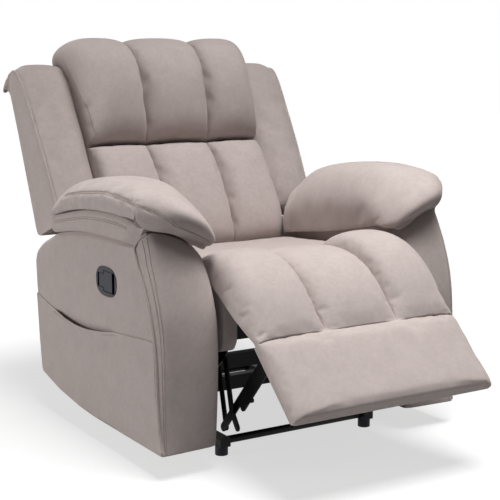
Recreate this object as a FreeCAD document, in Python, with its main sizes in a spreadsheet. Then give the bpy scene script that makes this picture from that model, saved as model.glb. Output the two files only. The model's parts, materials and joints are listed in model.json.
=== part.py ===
"""Recliner armchair with a lever-released leg rest, a reclining winged back and pillow arms.

The sitter faces -Y and up is +Z.  Left and right are the sitter's: left is +X, and the
release lever and the side pocket are on the right arm, at -X.  Depths in the sheet count
from the front of the arms, and origin_depth moves them to the middle of the chair's box.
The leg rest and the back are drawn level and upright about their hinges, then tilted.
"""
import FreeCAD
import Part
import Sketcher
import math
import os
import re
from FreeCAD import Placement, Rotation, Vector

SIZES = [
    # alias, value, meaning
    ("origin_depth", 313.6, "depth of the frame's origin behind the arms' front"),
    ("face_gap", 0.3, "clearance between hard faces of two pieces"),
    ("soft_gap", 0.5, "clearance between upholstered pieces"),
    ("running_gap", 0.25, "radial clearance of a pin in its hole"),
    # base frame
    ("glide_radius", 17, "radius of the plastic feet"),
    ("glide_height", 24, "height of the plastic feet"),
    ("foot_x", 230, "half the distance between left and right feet"),
    ("foot_front_y", 90, "depth of the front feet"),
    ("foot_rear_y", 690, "depth of the rear feet"),
    ("rail_width", 30, "width of the base side rails"),
    ("rail_height", 24, "height of the base side rails"),
    ("rail_overhang", 22, "length of rail beyond each foot"),
    ("bar_radius", 10, "radius of the round base bars"),
    ("steel", 4, "thickness of plates and links"),
    ("side_plate_front_y", 130, "front of the base side plates"),
    ("side_plate_rear_y", 610, "rear of the base side plates"),
    ("side_plate_top_z", 300, "top of the base side plates"),
    ("tube_height", 40, "height of the rectangular cross tubes"),
    ("tube_depth", 30, "depth of the rectangular cross tubes"),
    ("tube_wall", 2.5, "wall of the rectangular cross tubes"),
    ("upper_tube_y", 300, "depth of the upper cross tube"),
    ("upper_tube_z", 184, "height of the upper cross tube"),
    ("lower_tube_y", 360, "depth of the lower cross tube"),
    ("lower_tube_z", 104, "height of the lower cross tube"),
    ("spacer_size", 40, "side of the square arm spacers"),
    ("spacer_front_y", 200, "depth of the front arm spacer"),
    ("spacer_rear_y", 520, "depth of the rear arm spacer"),
    ("spacer_z", 200, "height of the arm spacers"),
    # arms
    ("arm_inner_x", 300, "inner face of the arms"),
    ("arm_outer_x", 458, "outer face of the arms"),
    ("arm_bottom_z", 62, "underside of the arms"),
    ("arm_tuck", 48, "rise of the arms' underside at its rear end"),
    ("arm_top_z", 566, "top of the arm box"),
    ("arm_rear_y", 770, "rear of the arms"),
    ("arm_wall", 18, "padding on the arms' side boards"),
    ("arm_board", 32, "depth of the arm frame's boards"),
    ("band_height", 64, "height of the band under the arm pillow"),
    ("band_overhang", 14, "band and pillow beyond the arm's outer face"),
    ("pillow_roll", 38, "inward roll of the pillow over the seat"),
    # pocket and lever on the right arm
    ("pocket_front_y", 225, "front edge of the side pocket"),
    ("pocket_rear_y", 615, "rear edge of the side pocket"),
    ("pocket_floor_z", 130, "floor of the side pocket"),
    ("pocket_mouth_z", 322, "top of the side pocket's mouth"),
    ("pocket_sag", 15, "sag of the pocket's front edge"),
    ("pocket_depth", 14, "depth of the side pocket"),
    ("pocket_cloth", 5, "thickness of the pocket's front"),
    ("lever_y", 279, "depth of the lever housing's centre"),
    ("lever_z", 448, "height of the lever housing's centre"),
    ("bezel_length", 120, "length of the lever housing's rim"),
    ("bezel_height", 78, "height of the lever housing's rim"),
    ("bezel_rim", 3, "thickness of the lever housing's rim"),
    ("cup_length", 106, "length of the lever housing's cup"),
    ("cup_height", 62, "height of the lever housing's cup"),
    ("cup_depth", 26, "depth of the lever housing's cup"),
    ("cup_wall", 2.5, "wall of the lever housing's cup"),
    ("paddle_gap", 1.5, "gap round the lever paddle"),
    ("paddle_thickness", 4, "thickness of the lever paddle"),
    ("stem_height", 34, "height of the paddle's stem"),
    ("paddle_height", 52, "height of the paddle's grip"),
    ("finger_gap", 17, "finger recess in front of the paddle"),
    ("lever_pin_radius", 2, "radius of the lever's pin"),
    ("barrel_radius", 4.2, "radius of the paddle's barrel"),
    ("cable_radius", 3, "radius of the release cable's sleeve"),
    ("latch_y", 330, "depth of the latch's pivot"),
    ("latch_z", 262, "height of the latch's pivot"),
    ("latch_length", 46, "length of the latch"),
    # linkage of the leg rest: depth and height of each pivot
    ("pin_radius", 4, "radius of the linkage's pins"),
    ("head_radius", 7, "radius of the pins' heads"),
    ("head_height", 1.7, "height of the pins' heads"),
    ("link_radius", 10, "half width of the narrow links"),
    ("wide_link_radius", 11, "half width of the wide link's ends"),
    ("wide_link_step", 20, "forward step that widens the wide link"),
    ("hinge_y", -80, "depth of the leg rest's hinge"),
    ("hinge_z", 460, "height of the leg rest's hinge"),
    ("crank_y", 70, "depth of the cross link's upper pivot"),
    ("crank_z", 292, "height of the cross link's upper pivot"),
    ("cross_y", 31, "depth of the crossing pivot"),
    ("cross_z", 132, "height of the crossing pivot"),
    ("tail_y", 83, "depth of the wide link's lower pivot"),
    ("tail_z", 74, "height of the wide link's lower pivot"),
    ("stop_y", 4, "depth of the cross link's end stop"),
    ("stop_z", 95, "height of the cross link's end stop"),
    ("seat_plate_x", 238, "inner face of the seat's side plates"),
    ("link_pitch", 6, "distance from one link's plane to the next"),
    # seat
    ("recline_y", 600, "depth of the back's hinge"),
    ("recline_z", 290, "height of the back's hinge"),
    ("recline_pin_radius", 6, "radius of the back's hinge pins"),
    ("slide_pin_radius", 6, "radius of the seat's slide pins"),
    ("slide_front_y", 190, "depth of the front slide pin"),
    ("slide_rear_y", 520, "depth of the rear slide pin"),
    ("slide_z", 272, "height of the slide pins"),
    ("slide_forward", 21, "forward travel of the seat"),
    ("slide_back", 4, "rearward travel of the seat"),
    ("slide_angle", 8, "rise of the seat's slide in degrees"),
    ("wood", 25, "thickness of the seat's wooden rails"),
    ("seat_rail_z", 315, "underside of the seat's wooden rails"),
    ("seat_rail_height", 44, "height of the seat's side rails"),
    ("front_rail_y", 30, "front of the seat's front rail"),
    ("rear_rail_y", 575, "front of the seat's rear rail"),
    ("deck_z", 440, "underside of the front deck"),
    ("deck_thickness", 11.7, "thickness of the front deck"),
    ("deck_front_y", -8, "front of the front deck"),
    ("spring_radius", 1.9, "radius of the seat springs' wire"),
    ("spring_amplitude", 22, "half width of a seat spring"),
    ("spring_spacing", 90, "distance between seat springs"),
    ("seat_half_width", 288, "half width of the seat's cushions"),
    ("seat_split_y", 152, "depth of the seam between the seat's cushions"),
    ("seat_rear_y", 585, "rear of the seat cushion"),
    ("seat_top_z", 503, "top of the seat cushion at its front"),
    ("seat_dish", 50, "fall of the seat cushion towards the back"),
    ("roll_radius", 80, "radius of the seat's front roll about the hinge"),
    ("roll_thickness", 36, "thickness of the front roll"),
    ("corner_front_y", -41, "front of the covered seat corners"),
    ("corner_bottom_z", 290, "underside of the covered seat corners"),
    # leg rest, level about its hinge, then tilted down
    ("leg_tilt", 43, "fall of the leg rest below the level, in degrees"),
    ("leg_length", 366, "reach of the leg rest from its hinge"),
    ("leg_half_width", 292, "half width of the leg rest"),
    ("leg_pad_back", -18, "back of the leg rest's padding"),
    ("leg_board", 12, "thickness of the leg rest's board"),
    ("leg_crown", 62, "height of the leg rest's padding at its top"),
    ("leg_seam", 148, "distance of the cross seam from the hinge"),
    ("leg_seam_height", 22, "height of the padding at the cross seam"),
    ("leg_panel_height", 30, "height of the lower panel's padding"),
    # back, upright about its hinge, then tilted
    ("rake", 24, "backward tilt of the back in degrees"),
    ("back_half_width", 456, "half width of the back over its wings"),
    ("frame_front", 8, "front of the back frame behind the hinge"),
    ("frame_depth", 50, "depth of the back frame"),
    ("frame_bottom", 60, "bottom of the back frame above the hinge"),
    ("frame_top", 740, "top of the back frame above the hinge"),
    ("frame_half_width", 400, "half width of the back frame over its stiles"),
    ("stile", 45, "width of the back frame's stiles"),
    ("waist_half_width", 285, "half width of the frame between the arms"),
    ("waist_top", 262, "height of the narrow part of the frame"),
    ("post_width", 30, "width of the back's steel brackets"),
    ("strap_width", 50, "width of the back's elastic straps"),
    ("strap_thickness", 2, "thickness of the back's elastic straps"),
    ("cushion_half_width", 286, "half width of the back cushions"),
    ("column_half_width", 105, "half width of the middle column"),
    ("lumbar_bottom", 163, "bottom of the lumbar cushion above the hinge"),
    ("row_seam", 484, "height of the seam between the back's two rows"),
    ("back_top", 845, "top of the head cushion above the hinge"),
    ("lumbar_depth", 136, "bulge of the lumbar cushion"),
    ("head_depth", 148, "bulge of the head cushion"),
    ("seam_depth", 48, "depth of the padding at the row seam"),
    ("wing_depth", 62, "bulge of the wings"),
    ("wing_top", 762, "top of the wings above the hinge"),
    ("cover_thickness", 6, "thickness of the rear cover"),
    ("cover_bottom", 20, "bottom of the rear cover above the hinge"),
]

ALIASES = {alias for alias, _, _ in SIZES}

doc = FreeCAD.newDocument("Recliner")
sheet = doc.addObject("Spreadsheet::Sheet", "Sizes")
for row, (alias, number, meaning) in enumerate(SIZES, start=1):
    sheet.set(f"A{row}", meaning)
    sheet.set(f"B{row}", str(number))
    sheet.setAlias(f"B{row}", alias)
doc.recompute()

SUBPARTS = []


def size(alias):
    """One number of the sheet."""
    return float(sheet.get(alias))


def bound(formula):
    """The formula in the sheet's own words, for setExpression."""
    return re.sub(r"[a-z][a-z_]*", lambda word: "Sizes." + word.group(0)
                  if word.group(0) in ALIASES else word.group(0), str(formula))


def number(formula):
    """The formula's value, for a sketch's first drawing."""
    if isinstance(formula, (int, float)):
        return float(formula)
    result = sheet.evalExpression(bound(formula))
    return float(getattr(result, "Value", result))


def keep(obj, label):
    """Name a finished sub-part, so that it is written to a file of its own."""
    obj.Label = label
    SUBPARTS.append(obj)
    return obj


# ---------------------------------------------------------------- primitives

def block(name, x_span, y_span, z_span):
    """A box between two formulas along each axis."""
    box = doc.addObject("Part::Box", name)
    for prop, (low, high) in (("Length", x_span), ("Width", y_span), ("Height", z_span)):
        box.setExpression(prop, bound(f"({high}) - ({low})"))
    box.setExpression("Placement.Base.x", bound(x_span[0]))
    box.setExpression("Placement.Base.y", bound(f"({y_span[0]}) - origin_depth"))
    box.setExpression("Placement.Base.z", bound(z_span[0]))
    return box


def round_bar(name, radius, low, high, y, z):
    """A cylinder along X."""
    bar = doc.addObject("Part::Cylinder", name)
    bar.Placement = Placement(Vector(), Rotation(Vector(0, 1, 0), 90))
    bar.setExpression("Radius", bound(radius))
    bar.setExpression("Height", bound(f"({high}) - ({low})"))
    bar.setExpression("Placement.Base.x", bound(low))
    bar.setExpression("Placement.Base.y", bound(f"({y}) - origin_depth"))
    bar.setExpression("Placement.Base.z", bound(z))
    return bar


def upright_bar(name, radius, low, high, x, y):
    """A cylinder along Z."""
    bar = doc.addObject("Part::Cylinder", name)
    bar.setExpression("Radius", bound(radius))
    bar.setExpression("Height", bound(f"({high}) - ({low})"))
    bar.setExpression("Placement.Base.x", bound(x))
    bar.setExpression("Placement.Base.y", bound(f"({y}) - origin_depth"))
    bar.setExpression("Placement.Base.z", bound(low))
    return bar


def cut(name, base, *tools):
    result = base
    for index, tool in enumerate(tools):
        step = doc.addObject("Part::Cut", f"{name}_cut{index}")
        step.Base = result
        step.Tool = tool
        result = step
    return result


def fuse(name, *shapes):
    joined = doc.addObject("Part::MultiFuse", name + "_joined")
    joined.Shapes = list(shapes)
    return joined


def group(name, *shapes):
    """Separate solids that share one node."""
    together = doc.addObject("Part::Compound", name + "_group")
    together.Links = list(shapes)
    return together


def mirrored(source, label):
    """The same piece on the other side of the chair."""
    mirror = doc.addObject("Part::Mirroring", label + "_mirror")
    mirror.Source = source
    mirror.Normal = Vector(1, 0, 0)
    mirror.Base = Vector(0, 0, 0)
    return mirror


def pair(source, name):
    """Keep a left piece and its mirrored right one."""
    keep(source, name + "_left")
    keep(mirrored(source, name + "_right"), name + "_right")


# ---------------------------------------------------------------- sketched bodies

def new_body(name):
    return doc.addObject("PartDesign::Body", name + "_body")


def new_sketch(body, role="YZ_Plane"):
    plane = next(f for f in body.Origin.OriginFeatures if f.Role == role)
    sketch = body.newObject("Sketcher::SketchObject", body.Name + "_sketch")
    sketch.AttachmentSupport = [(plane, "")]
    sketch.MapMode = "FlatFace"
    return sketch


def bind(sketch, kind, formula, *where):
    index = sketch.addConstraint(Sketcher.Constraint(kind, *where, number(formula)))
    sketch.setExpression(f"Constraints[{index}]", bound(formula))


def pin_point(sketch, geometry, vertex, point):
    """Hold one vertex at two formulas from the sketch's origin."""
    bind(sketch, "DistanceX", point[0], -1, 1, geometry, vertex)
    bind(sketch, "DistanceY", point[1], -1, 1, geometry, vertex)


def draw_outline(sketch, points):
    """A closed polygon, each corner held by two formulas."""
    corners = [Vector(number(a), number(b), 0) for a, b in points]
    first = sketch.GeometryCount
    for index, corner in enumerate(corners):
        sketch.addGeometry(Part.LineSegment(corner, corners[(index + 1) % len(corners)]))
    for index in range(len(corners)):
        following = first + (index + 1) % len(corners)
        sketch.addConstraint(Sketcher.Constraint("Coincident", first + index, 2, following, 1))
    for index, point in enumerate(points):
        pin_point(sketch, first + index, 1, point)


def draw_circle(sketch, centre, radius):
    middle = Vector(number(centre[0]), number(centre[1]), 0)
    index = sketch.addGeometry(Part.Circle(middle, Vector(0, 0, 1), number(radius)))
    pin_point(sketch, index, 3, centre)
    bind(sketch, "Radius", radius, index)


def draw_slot(sketch, start, end, radius):
    """A slot round two centres: two arcs and two tangent lines."""
    p = Vector(number(start[0]), number(start[1]), 0)
    q = Vector(number(end[0]), number(end[1]), 0)
    r = number(radius)
    angle = math.atan2(q.y - p.y, q.x - p.x)
    side = Vector(-math.sin(angle), math.cos(angle), 0) * r
    up = Vector(0, 0, 1)
    quarter = math.pi / 2
    near = sketch.addGeometry(Part.ArcOfCircle(Part.Circle(p, up, r),
                                               angle + quarter, angle + 3 * quarter))
    far = sketch.addGeometry(Part.ArcOfCircle(Part.Circle(q, up, r),
                                              angle - quarter, angle + quarter))
    lower = sketch.addGeometry(Part.LineSegment(p - side, q - side))
    upper = sketch.addGeometry(Part.LineSegment(q + side, p + side))
    for ends in ((near, 2, lower, 1), (lower, 2, far, 1), (far, 2, upper, 1), (upper, 2, near, 1)):
        sketch.addConstraint(Sketcher.Constraint("Tangent", *ends))
    pin_point(sketch, near, 3, start)
    pin_point(sketch, far, 3, end)
    bind(sketch, "Radius", radius, near)


def pad(body, sketch, thickness, back=0):
    """Thicken a sketch along its normal, from a formula behind it."""
    feature = body.newObject("PartDesign::Pad", body.Name + "_pad")
    feature.Profile = sketch
    feature.setExpression("Length", bound(thickness))
    if back:
        sketch.setExpression("AttachmentOffset.Base.z", bound(back))
    body.Tip = feature
    return feature


def pocket_through(body, sketch, depth=None):
    """Cut a sketch through the body, or half of a formula's depth to each side of its plane."""
    feature = body.newObject("PartDesign::Pocket", body.Name + "_pocket")
    feature.Profile = sketch
    if depth:
        feature.Type = "Length"
        feature.setExpression("Length", bound(depth))
    else:
        feature.Type = "ThroughAll"
    feature.Midplane = True
    body.Tip = feature
    return feature


def place_body(body, x, y="0", z="0", tilt=None):
    """Put a body's own origin at three formulas, turned about X by a formula."""
    if tilt is not None:
        body.Placement = Placement(Vector(), Rotation(Vector(1, 0, 0), number(tilt)))
    body.setExpression("Placement.Base.x", bound(x))
    body.setExpression("Placement.Base.y", bound(f"({y}) - origin_depth"))
    body.setExpression("Placement.Base.z", bound(z))
    return body


def plate(name, x, outlines=(), slots=(), holes=(), openings=(), tilt=None, at=("0", "0"),
          thickness="steel"):
    """A flat plate across X: padded outlines and slots, then holes and slotted openings."""
    body = new_body(name)
    for points in outlines:
        sketch = new_sketch(body)
        draw_outline(sketch, points)
        pad(body, sketch, thickness)
    for start, end, radius in slots:
        sketch = new_sketch(body)
        draw_slot(sketch, start, end, radius)
        pad(body, sketch, thickness)
    if holes or openings:
        doc.recompute()
        sketch = new_sketch(body)
        for centre, radius in holes:
            draw_circle(sketch, centre, radius)
        for start, end, radius in openings:
            draw_slot(sketch, start, end, radius)
        pocket_through(body, sketch)
    return place_body(body, x, at[0], at[1], tilt)


# ---------------------------------------------------------------- soft solids

def edge_through(points):
    """A straight edge through two points, a smooth one through more."""
    if len(points) == 2:
        return Part.LineSegment(*points).toShape()
    curve = Part.BSplineCurve()
    curve.interpolate(points)
    return curve.toShape()


def section(x, runs):
    """A closed wire across X: each run starts where the one before it ends."""
    edges = [edge_through([Vector(x, y, z) for y, z in run]) for run in runs]
    return Part.Wire(edges)


def lofted(wires, ruled=False):
    solid = Part.makeLoft(wires, True, ruled)
    return solid if solid.Volume > 0 else solid.reversed()


def prism(x_low, x_high, points):
    wire = Part.makePolygon([Vector(x_low, y, z) for y, z in points + points[:1]])
    return Part.Face(wire).extrude(Vector(x_high - x_low, 0, 0))


def soft(name, shape, at=(0, 0), tilt=0):
    """A shaped solid in a feature of its own, put in the chair's frame."""
    feature = doc.addObject("Part::Feature", name + "_shape")
    feature.Shape = shape
    feature.Placement = Placement(Vector(0, at[0] - size("origin_depth"), at[1]),
                                  Rotation(Vector(1, 0, 0), tilt))
    return feature


def back_piece(name, shape):
    return soft(name, shape, (size("recline_y"), size("recline_z")), -size("rake"))


def leg_piece(name, shape):
    return soft(name, shape, (size("hinge_y"), size("hinge_z")), size("leg_tilt"))


# ---------------------------------------------------------------- base frame

def base_frame():
    feet = [upright_bar(f"glide_{x}_{y}", "glide_radius", "0", "glide_height", x, y)
            for x in ("foot_x", "-foot_x") for y in ("foot_front_y", "foot_rear_y")]
    keep(group("glide_feet", *feet), "glide_feet")
    rail = block("base_rail", ("foot_x - rail_width / 2", "foot_x + rail_width / 2"),
                 ("foot_front_y - rail_overhang", "foot_rear_y + rail_overhang"),
                 ("glide_height", "glide_height + rail_height"))
    pair(rail, "base_rail")
    for name, y in (("front_base_bar", "foot_front_y"), ("rear_base_bar", "foot_rear_y")):
        keep(round_bar(name, "bar_radius", "rail_width / 2 - foot_x", "foot_x - rail_width / 2",
                       y, "glide_height + rail_height / 2"), name)
    for name, y, z in (("upper_cross_tube", "upper_tube_y", "upper_tube_z"),
                       ("lower_cross_tube", "lower_tube_y", "lower_tube_z")):
        keep(cross_tube(name, y, z), name)


def cross_tube(name, y, z):
    """A rectangular tube between the base's side plates."""
    span = ("-foot_x - rail_width / 2", "foot_x + rail_width / 2")
    outer = block(name + "_outer", span,
                  (f"{y} - tube_depth / 2", f"{y} + tube_depth / 2"),
                  (f"{z} - tube_height / 2", f"{z} + tube_height / 2"))
    inner = block(name + "_inner", span,
                  (f"{y} - tube_depth / 2 + tube_wall", f"{y} + tube_depth / 2 - tube_wall"),
                  (f"{z} - tube_height / 2 + tube_wall", f"{z} + tube_height / 2 - tube_wall"))
    return cut(name, outer, inner)


def slide_slot(y):
    """The two ends of the slot that a slide pin travels in."""
    run, rise = "cos(slide_angle * 1 deg)", "sin(slide_angle * 1 deg)"
    front = (f"{y} - slide_forward * {run}", f"slide_z + slide_forward * {rise}")
    rear = (f"{y} + slide_back * {run}", f"slide_z - slide_back * {rise}")
    return front, rear, "slide_pin_radius + running_gap"


def side_plates():
    """Upright plates on the base rails that the seat slides along and the arms hang on."""
    outline = [("side_plate_front_y", "glide_height"),
               ("side_plate_front_y", "side_plate_top_z - 90"),
               ("side_plate_front_y + 30", "side_plate_top_z"),
               ("side_plate_rear_y - 20", "side_plate_top_z"),
               ("side_plate_rear_y", "side_plate_top_z - 90"),
               ("side_plate_rear_y", "glide_height")]
    slots = [slide_slot("slide_front_y"), slide_slot("slide_rear_y")]
    pair(plate("side_plate", "foot_x + rail_width / 2", outlines=[outline], openings=slots),
         "side_plate")


def arm_spacers():
    """Square tubes that carry each arm off the side plate."""
    tubes = []
    for y in ("spacer_front_y", "spacer_rear_y"):
        span = ("foot_x + rail_width / 2 + steel", "arm_inner_x")
        outer = block("arm_spacer", span, (f"{y} - spacer_size / 2", f"{y} + spacer_size / 2"),
                      ("spacer_z - spacer_size / 2", "spacer_z + spacer_size / 2"))
        inner = block("arm_spacer_hollow", span,
                      (f"{y} - spacer_size / 2 + tube_wall", f"{y} + spacer_size / 2 - tube_wall"),
                      ("spacer_z - spacer_size / 2 + tube_wall",
                       "spacer_z + spacer_size / 2 - tube_wall"))
        tubes.append(cut("arm_spacer", outer, inner))
    pair(group("arm_spacers", *tubes), "arm_spacers")


# ---------------------------------------------------------------- arms

# front of the arm: fall from the arm's top, depth at the outer face, depth at the inner face
ARM_FRONT = [(0, 122, 122), (36, 100, 66), (74, 78, 26), (141, 44, -7), (239, 13, -24),
             (391, 0, -22)]
ARM_FOOT = (-17, -10)
# front panel's head under the pillow's nose: share across, rise over the arm's top, depth
PANEL_HEAD = [(0, 2, 119), (0.08, 30, 70), (0.25, 33, 62), (0.5, 22, 56), (0.75, 4, 62),
              (0.94, -14, 78), (1, -18, 84)]
# top of the arm under the band, and behind it: depth, fall from the arm's top
ARM_CROWN = [(598, 32.5), (520, 19), (438, 9), (310, 1), (190, -0.5), (130, 0)]
ARM_SHOULDER = [(0, 129), (-12, 104), (-63, 73), (-121, 50)]
# top of the band: depth, fall from the band's own top
BAND_CROWN = [(598, 48), (552, 37), (401, 10), (274, 0), (157, 0.5), (80, 8)]


def arm_crown(lift=0.0):
    return [(y, size("arm_top_z") - fall + lift) for y, fall in ARM_CROWN]


def band_crown(lift=0.0):
    top = size("arm_top_z") + size("band_height")
    return [(y, top - fall + lift) for y, fall in BAND_CROWN]


def panel_head(share):
    """Depth and height of the front panel's upper end, at a share across the arm."""
    for first, second in zip(PANEL_HEAD, PANEL_HEAD[1:]):
        if first[0] <= share <= second[0]:
            part = (share - first[0]) / (second[0] - first[0])
            return (first[2] + (second[2] - first[2]) * part,
                    size("arm_top_z") + first[1] + (second[1] - first[1]) * part)


def arm_foot_line(last, below=0.0):
    """The arm's underside from its level front part to its raised rear end."""
    bottom, rear, tuck = size("arm_bottom_z"), size("arm_rear_y"), size("arm_tuck")
    bend, turn = (rear - 350, 0.0), (rear - 170, 0.4)
    share = turn[1] + (1 - turn[1]) * (last - turn[0]) / (rear - 35 - turn[0])
    return [(bend[0], bottom - below), (turn[0], bottom + turn[1] * tuck - below),
            (last, bottom + share * tuck - below)]


def arm_section(x, share, bulge, inset=0.0):
    """The arm's outline across X: share 0 is the outer face's front and 1 the inner face's."""
    top, rear, bottom = size("arm_top_z"), size("arm_rear_y"), size("arm_bottom_z")
    head_y, head_z = panel_head(share)
    rest = (128, top - inset)
    front = [(head_y + inset, head_z - inset)]
    for fall, outer, inner in ARM_FRONT[1:]:
        front.append((outer + (inner - outer) * share - bulge + inset,
                      top - fall - inset + max(0, head_z - top) * 0.4 * (fall == 36)))
    front.append((ARM_FOOT[0] + (ARM_FOOT[1] - ARM_FOOT[0]) * share + inset, bottom))
    crown = arm_crown(-inset)
    crown[-1] = rest
    shoulder = [(rear + y - inset, top - fall - inset) for y, fall in ARM_SHOULDER] + [crown[0]]
    foot = arm_foot_line(rear - 35 - inset)
    back = [foot[-1], (rear - 7 - inset, bottom + 280), shoulder[0]]
    return section(x, [front, [front[-1], foot[0]], foot[:2], foot[1:], back, shoulder, crown,
                       [rest, front[0]]])


def arm_shell():
    """The padded cover of the left arm, hollow round its wooden frame."""
    inner, outer = size("arm_inner_x"), size("arm_outer_x")
    shares = [(0.0, 1.0, 0, 0), (0.25, 0.75, 8, 0), (0.5, 0.5, 16, 0), (0.75, 0.25, 22, 0),
              (0.92, 0.08, 18, 0), (1.0, 0.0, 0, 0)]
    wires = [arm_section(inner + (outer - inner) * across, share, bulge, inset)
             for across, share, bulge, inset in shares]
    shell = lofted(wires, ruled=True)
    wall = size("arm_wall")
    hollow = prism(inner + wall, outer - wall, arm_hollow(below=9))
    return shell.cut(hollow)


def arm_hollow(inset=0.0, below=0.0):
    """Outline of the room for the arm's wooden frame, open under the arm."""
    top, rear, bottom = size("arm_top_z"), size("arm_rear_y"), size("arm_bottom_z")
    return [(60 + inset, bottom - below), (60 + inset, top - 236), (150 + inset, top - 46 - inset),
            (600, top - 66 - inset), (rear - 35 - inset, top - 141 - inset),
            *arm_foot_line(rear - 48 - inset, below)[::-1]]


def arm_frame():
    """Boards bent round the front, top and rear of the arm, open at the bottom."""
    wall = size("arm_wall") + size("face_gap")
    low, high = size("arm_inner_x") + wall, size("arm_outer_x") - wall
    outside = prism(low, high, arm_hollow(size("face_gap")))
    inside = prism(low, high, arm_hollow(size("arm_board"), below=9))
    return outside.cut(inside)


def arm_band():
    inner, outer = size("arm_inner_x") + 3, size("arm_outer_x") + size("band_overhang")
    wires = []
    for x, inset in ((inner, 0), (outer - 10, 0), (outer, 9)):
        low = arm_crown(size("soft_gap") + inset)
        high = band_crown(-inset)
        wires.append(section(x, [low, [low[-1], high[-1]], high[::-1], [high[0], low[0]]]))
    return lofted(wires, ruled=True)


# arm pillow: depth, top over the arm's top, then the underside of its overhang in front
PILLOW_TOP = [(598, 42), (556, 88), (480, 116), (400, 131), (300, 141), (200, 144), (140, 144),
              (88, 141), (48, 134)]
PILLOW_NOSE = [(48, 134), (14, 120), (-4, 96), (6, 66), (34, 44)]
PILLOW_CHIN = [(34, 44), (56, 48), (72, 52)]
ROLL_TOP = [(556, 56), (487, 96), (401, 118), (300, 130), (200, 134), (150, 134), (100, 131),
            (54, 122)]
ROLL_NOSE = [(54, 122), (18, 98), (22, 44), (56, 6)]
ROLL_FOOT = [(56, 6), (110, -8), (200, -27), (346, -55), (450, -70), (550, -84)]
# across the pillow from its inner edge: how far the nose reaches, height of the crown and of
# the chin's edge
PILLOW_PLAN = [(0, 0.86, 0.93, -30), (0.2, 0.98, 0.98, -20), (0.5, 1, 1, -4), (0.78, 0.92, 0.97, 4),
               (0.93, 0.72, 0.84, 6), (1, 0.5, 0.5, 8)]


def pillow_section(x, reach, lift, chin_drop):
    """Pillow over the band: reach draws its nose back, lift lowers its crown."""
    top = size("arm_top_z")
    shelf = band_crown(size("soft_gap"))
    turn = shelf[-1][0]

    def shaped(points, lowest):
        return [(turn - (turn - y) * reach if y < turn else y, lowest + (z - lowest) * lift)
                for y, z in points]

    crown = shaped([(y, top + z) for y, z in PILLOW_TOP], top + 60)
    nose = shaped([(y, top + z) for y, z in PILLOW_NOSE], top + 60)
    chin = shaped([(y, top + z) for y, z in PILLOW_CHIN], top + 60)
    crown[0] = (crown[0][0], max(crown[0][1], shelf[0][1] + 8))
    drops = (chin_drop, chin_drop * 0.6, chin_drop * 0.25)
    chin = [(y, z + drop) for (y, z), drop in zip(chin, drops)]
    nose[-2] = (nose[-2][0], nose[-2][1] + chin_drop * 0.4)
    nose[0], nose[-1] = crown[-1], chin[0]
    return section(x, [crown, nose, chin + [shelf[-1]], shelf[::-1], [shelf[0], crown[0]]])


def roll_section(x, shrink, draw):
    """Pillow's inward roll beside the seat: shrunk about its middle, its nose drawn back."""
    top, turn = size("arm_top_z"), BAND_CROWN[-1][0]

    def shaped(points):
        drawn = [(turn - (turn - y) * (1 - draw) if y < turn else y, z) for y, z in points]
        return [(270 + (y - 270) * (1 - shrink / 3), top + 30 + (z - 30) * (1 - shrink))
                for y, z in drawn]

    crown, nose, foot = shaped(ROLL_TOP), shaped(ROLL_NOSE), shaped(ROLL_FOOT)
    return section(x, [crown, nose, foot, [foot[-1], crown[0]]])


def arm_pillow():
    inner = size("arm_inner_x") - size("face_gap")
    outer = size("arm_outer_x") + size("band_overhang") + 2
    wide = outer - inner
    slab = lofted([pillow_section(inner + wide * across, reach, lift, drop)
                   for across, reach, lift, drop in PILLOW_PLAN], ruled=True)
    roll = size("pillow_roll")
    inward = lofted([roll_section(inner - roll, 0.26, 0.62),
                     roll_section(inner - roll * 0.85, 0.12, 0.44),
                     roll_section(inner - roll * 0.5, 0.03, 0.2), roll_section(inner, 0, 0)],
                    ruled=True)
    return slab.fuse(inward).removeSplitter()


def arms():
    shell = soft("arm_cover", arm_shell())
    keep(shell, "arm_cover_left")
    right = cut("arm_cover_right", mirrored(shell, "arm_cover_right"), pocket_recess(),
                lever_hole(), cable_hole())
    keep(right, "arm_cover_right")
    pair(soft("arm_frame", arm_frame()), "arm_frame")
    pair(soft("arm_band", arm_band()), "arm_band")
    pair(soft("arm_pillow", arm_pillow()), "arm_pillow")


# ---------------------------------------------------------------- side pocket

def pocket_outline(y_inset, top, sag):
    """Pocket seen from the side: flat floor, sagging mouth."""
    front, rear = size("pocket_front_y") + y_inset, size("pocket_rear_y") - y_inset
    floor = size("pocket_floor_z") + y_inset
    mouth = Part.Arc(Vector(0, rear, top), Vector(0, (front + rear) / 2, top - sag),
                     Vector(0, front, top)).toShape()
    corners = [Vector(0, front, top), Vector(0, front, floor), Vector(0, rear, floor),
               Vector(0, rear, top)]
    return Part.Face(Part.Wire(list(Part.makePolygon(corners).Edges) + [mouth]))


def pocket_recess():
    face = pocket_outline(0, size("pocket_mouth_z"), 2)
    face.translate(Vector(-size("arm_outer_x") - 1, 0, 0))
    return soft("pocket_recess", face.extrude(Vector(size("pocket_depth") + 1, 0, 0)))


def side_pocket():
    face = pocket_outline(size("face_gap"), size("pocket_mouth_z") - 5, size("pocket_sag"))
    face.translate(Vector(-size("arm_outer_x"), 0, 0))
    front = face.extrude(Vector(size("pocket_cloth"), 0, 0))
    keep(soft("side_pocket", front), "side_pocket")


# ---------------------------------------------------------------- lever on the right arm

LEVER_FACE = "-arm_outer_x - bezel_rim"


def lever_hole():
    return block("lever_hole", ("-arm_outer_x - 1", "-arm_outer_x + arm_wall + 1"),
                 ("lever_y - cup_length / 2 - face_gap", "lever_y + cup_length / 2 + face_gap"),
                 ("lever_z - cup_height / 2 - face_gap", "lever_z + cup_height / 2 + face_gap"))


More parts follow.
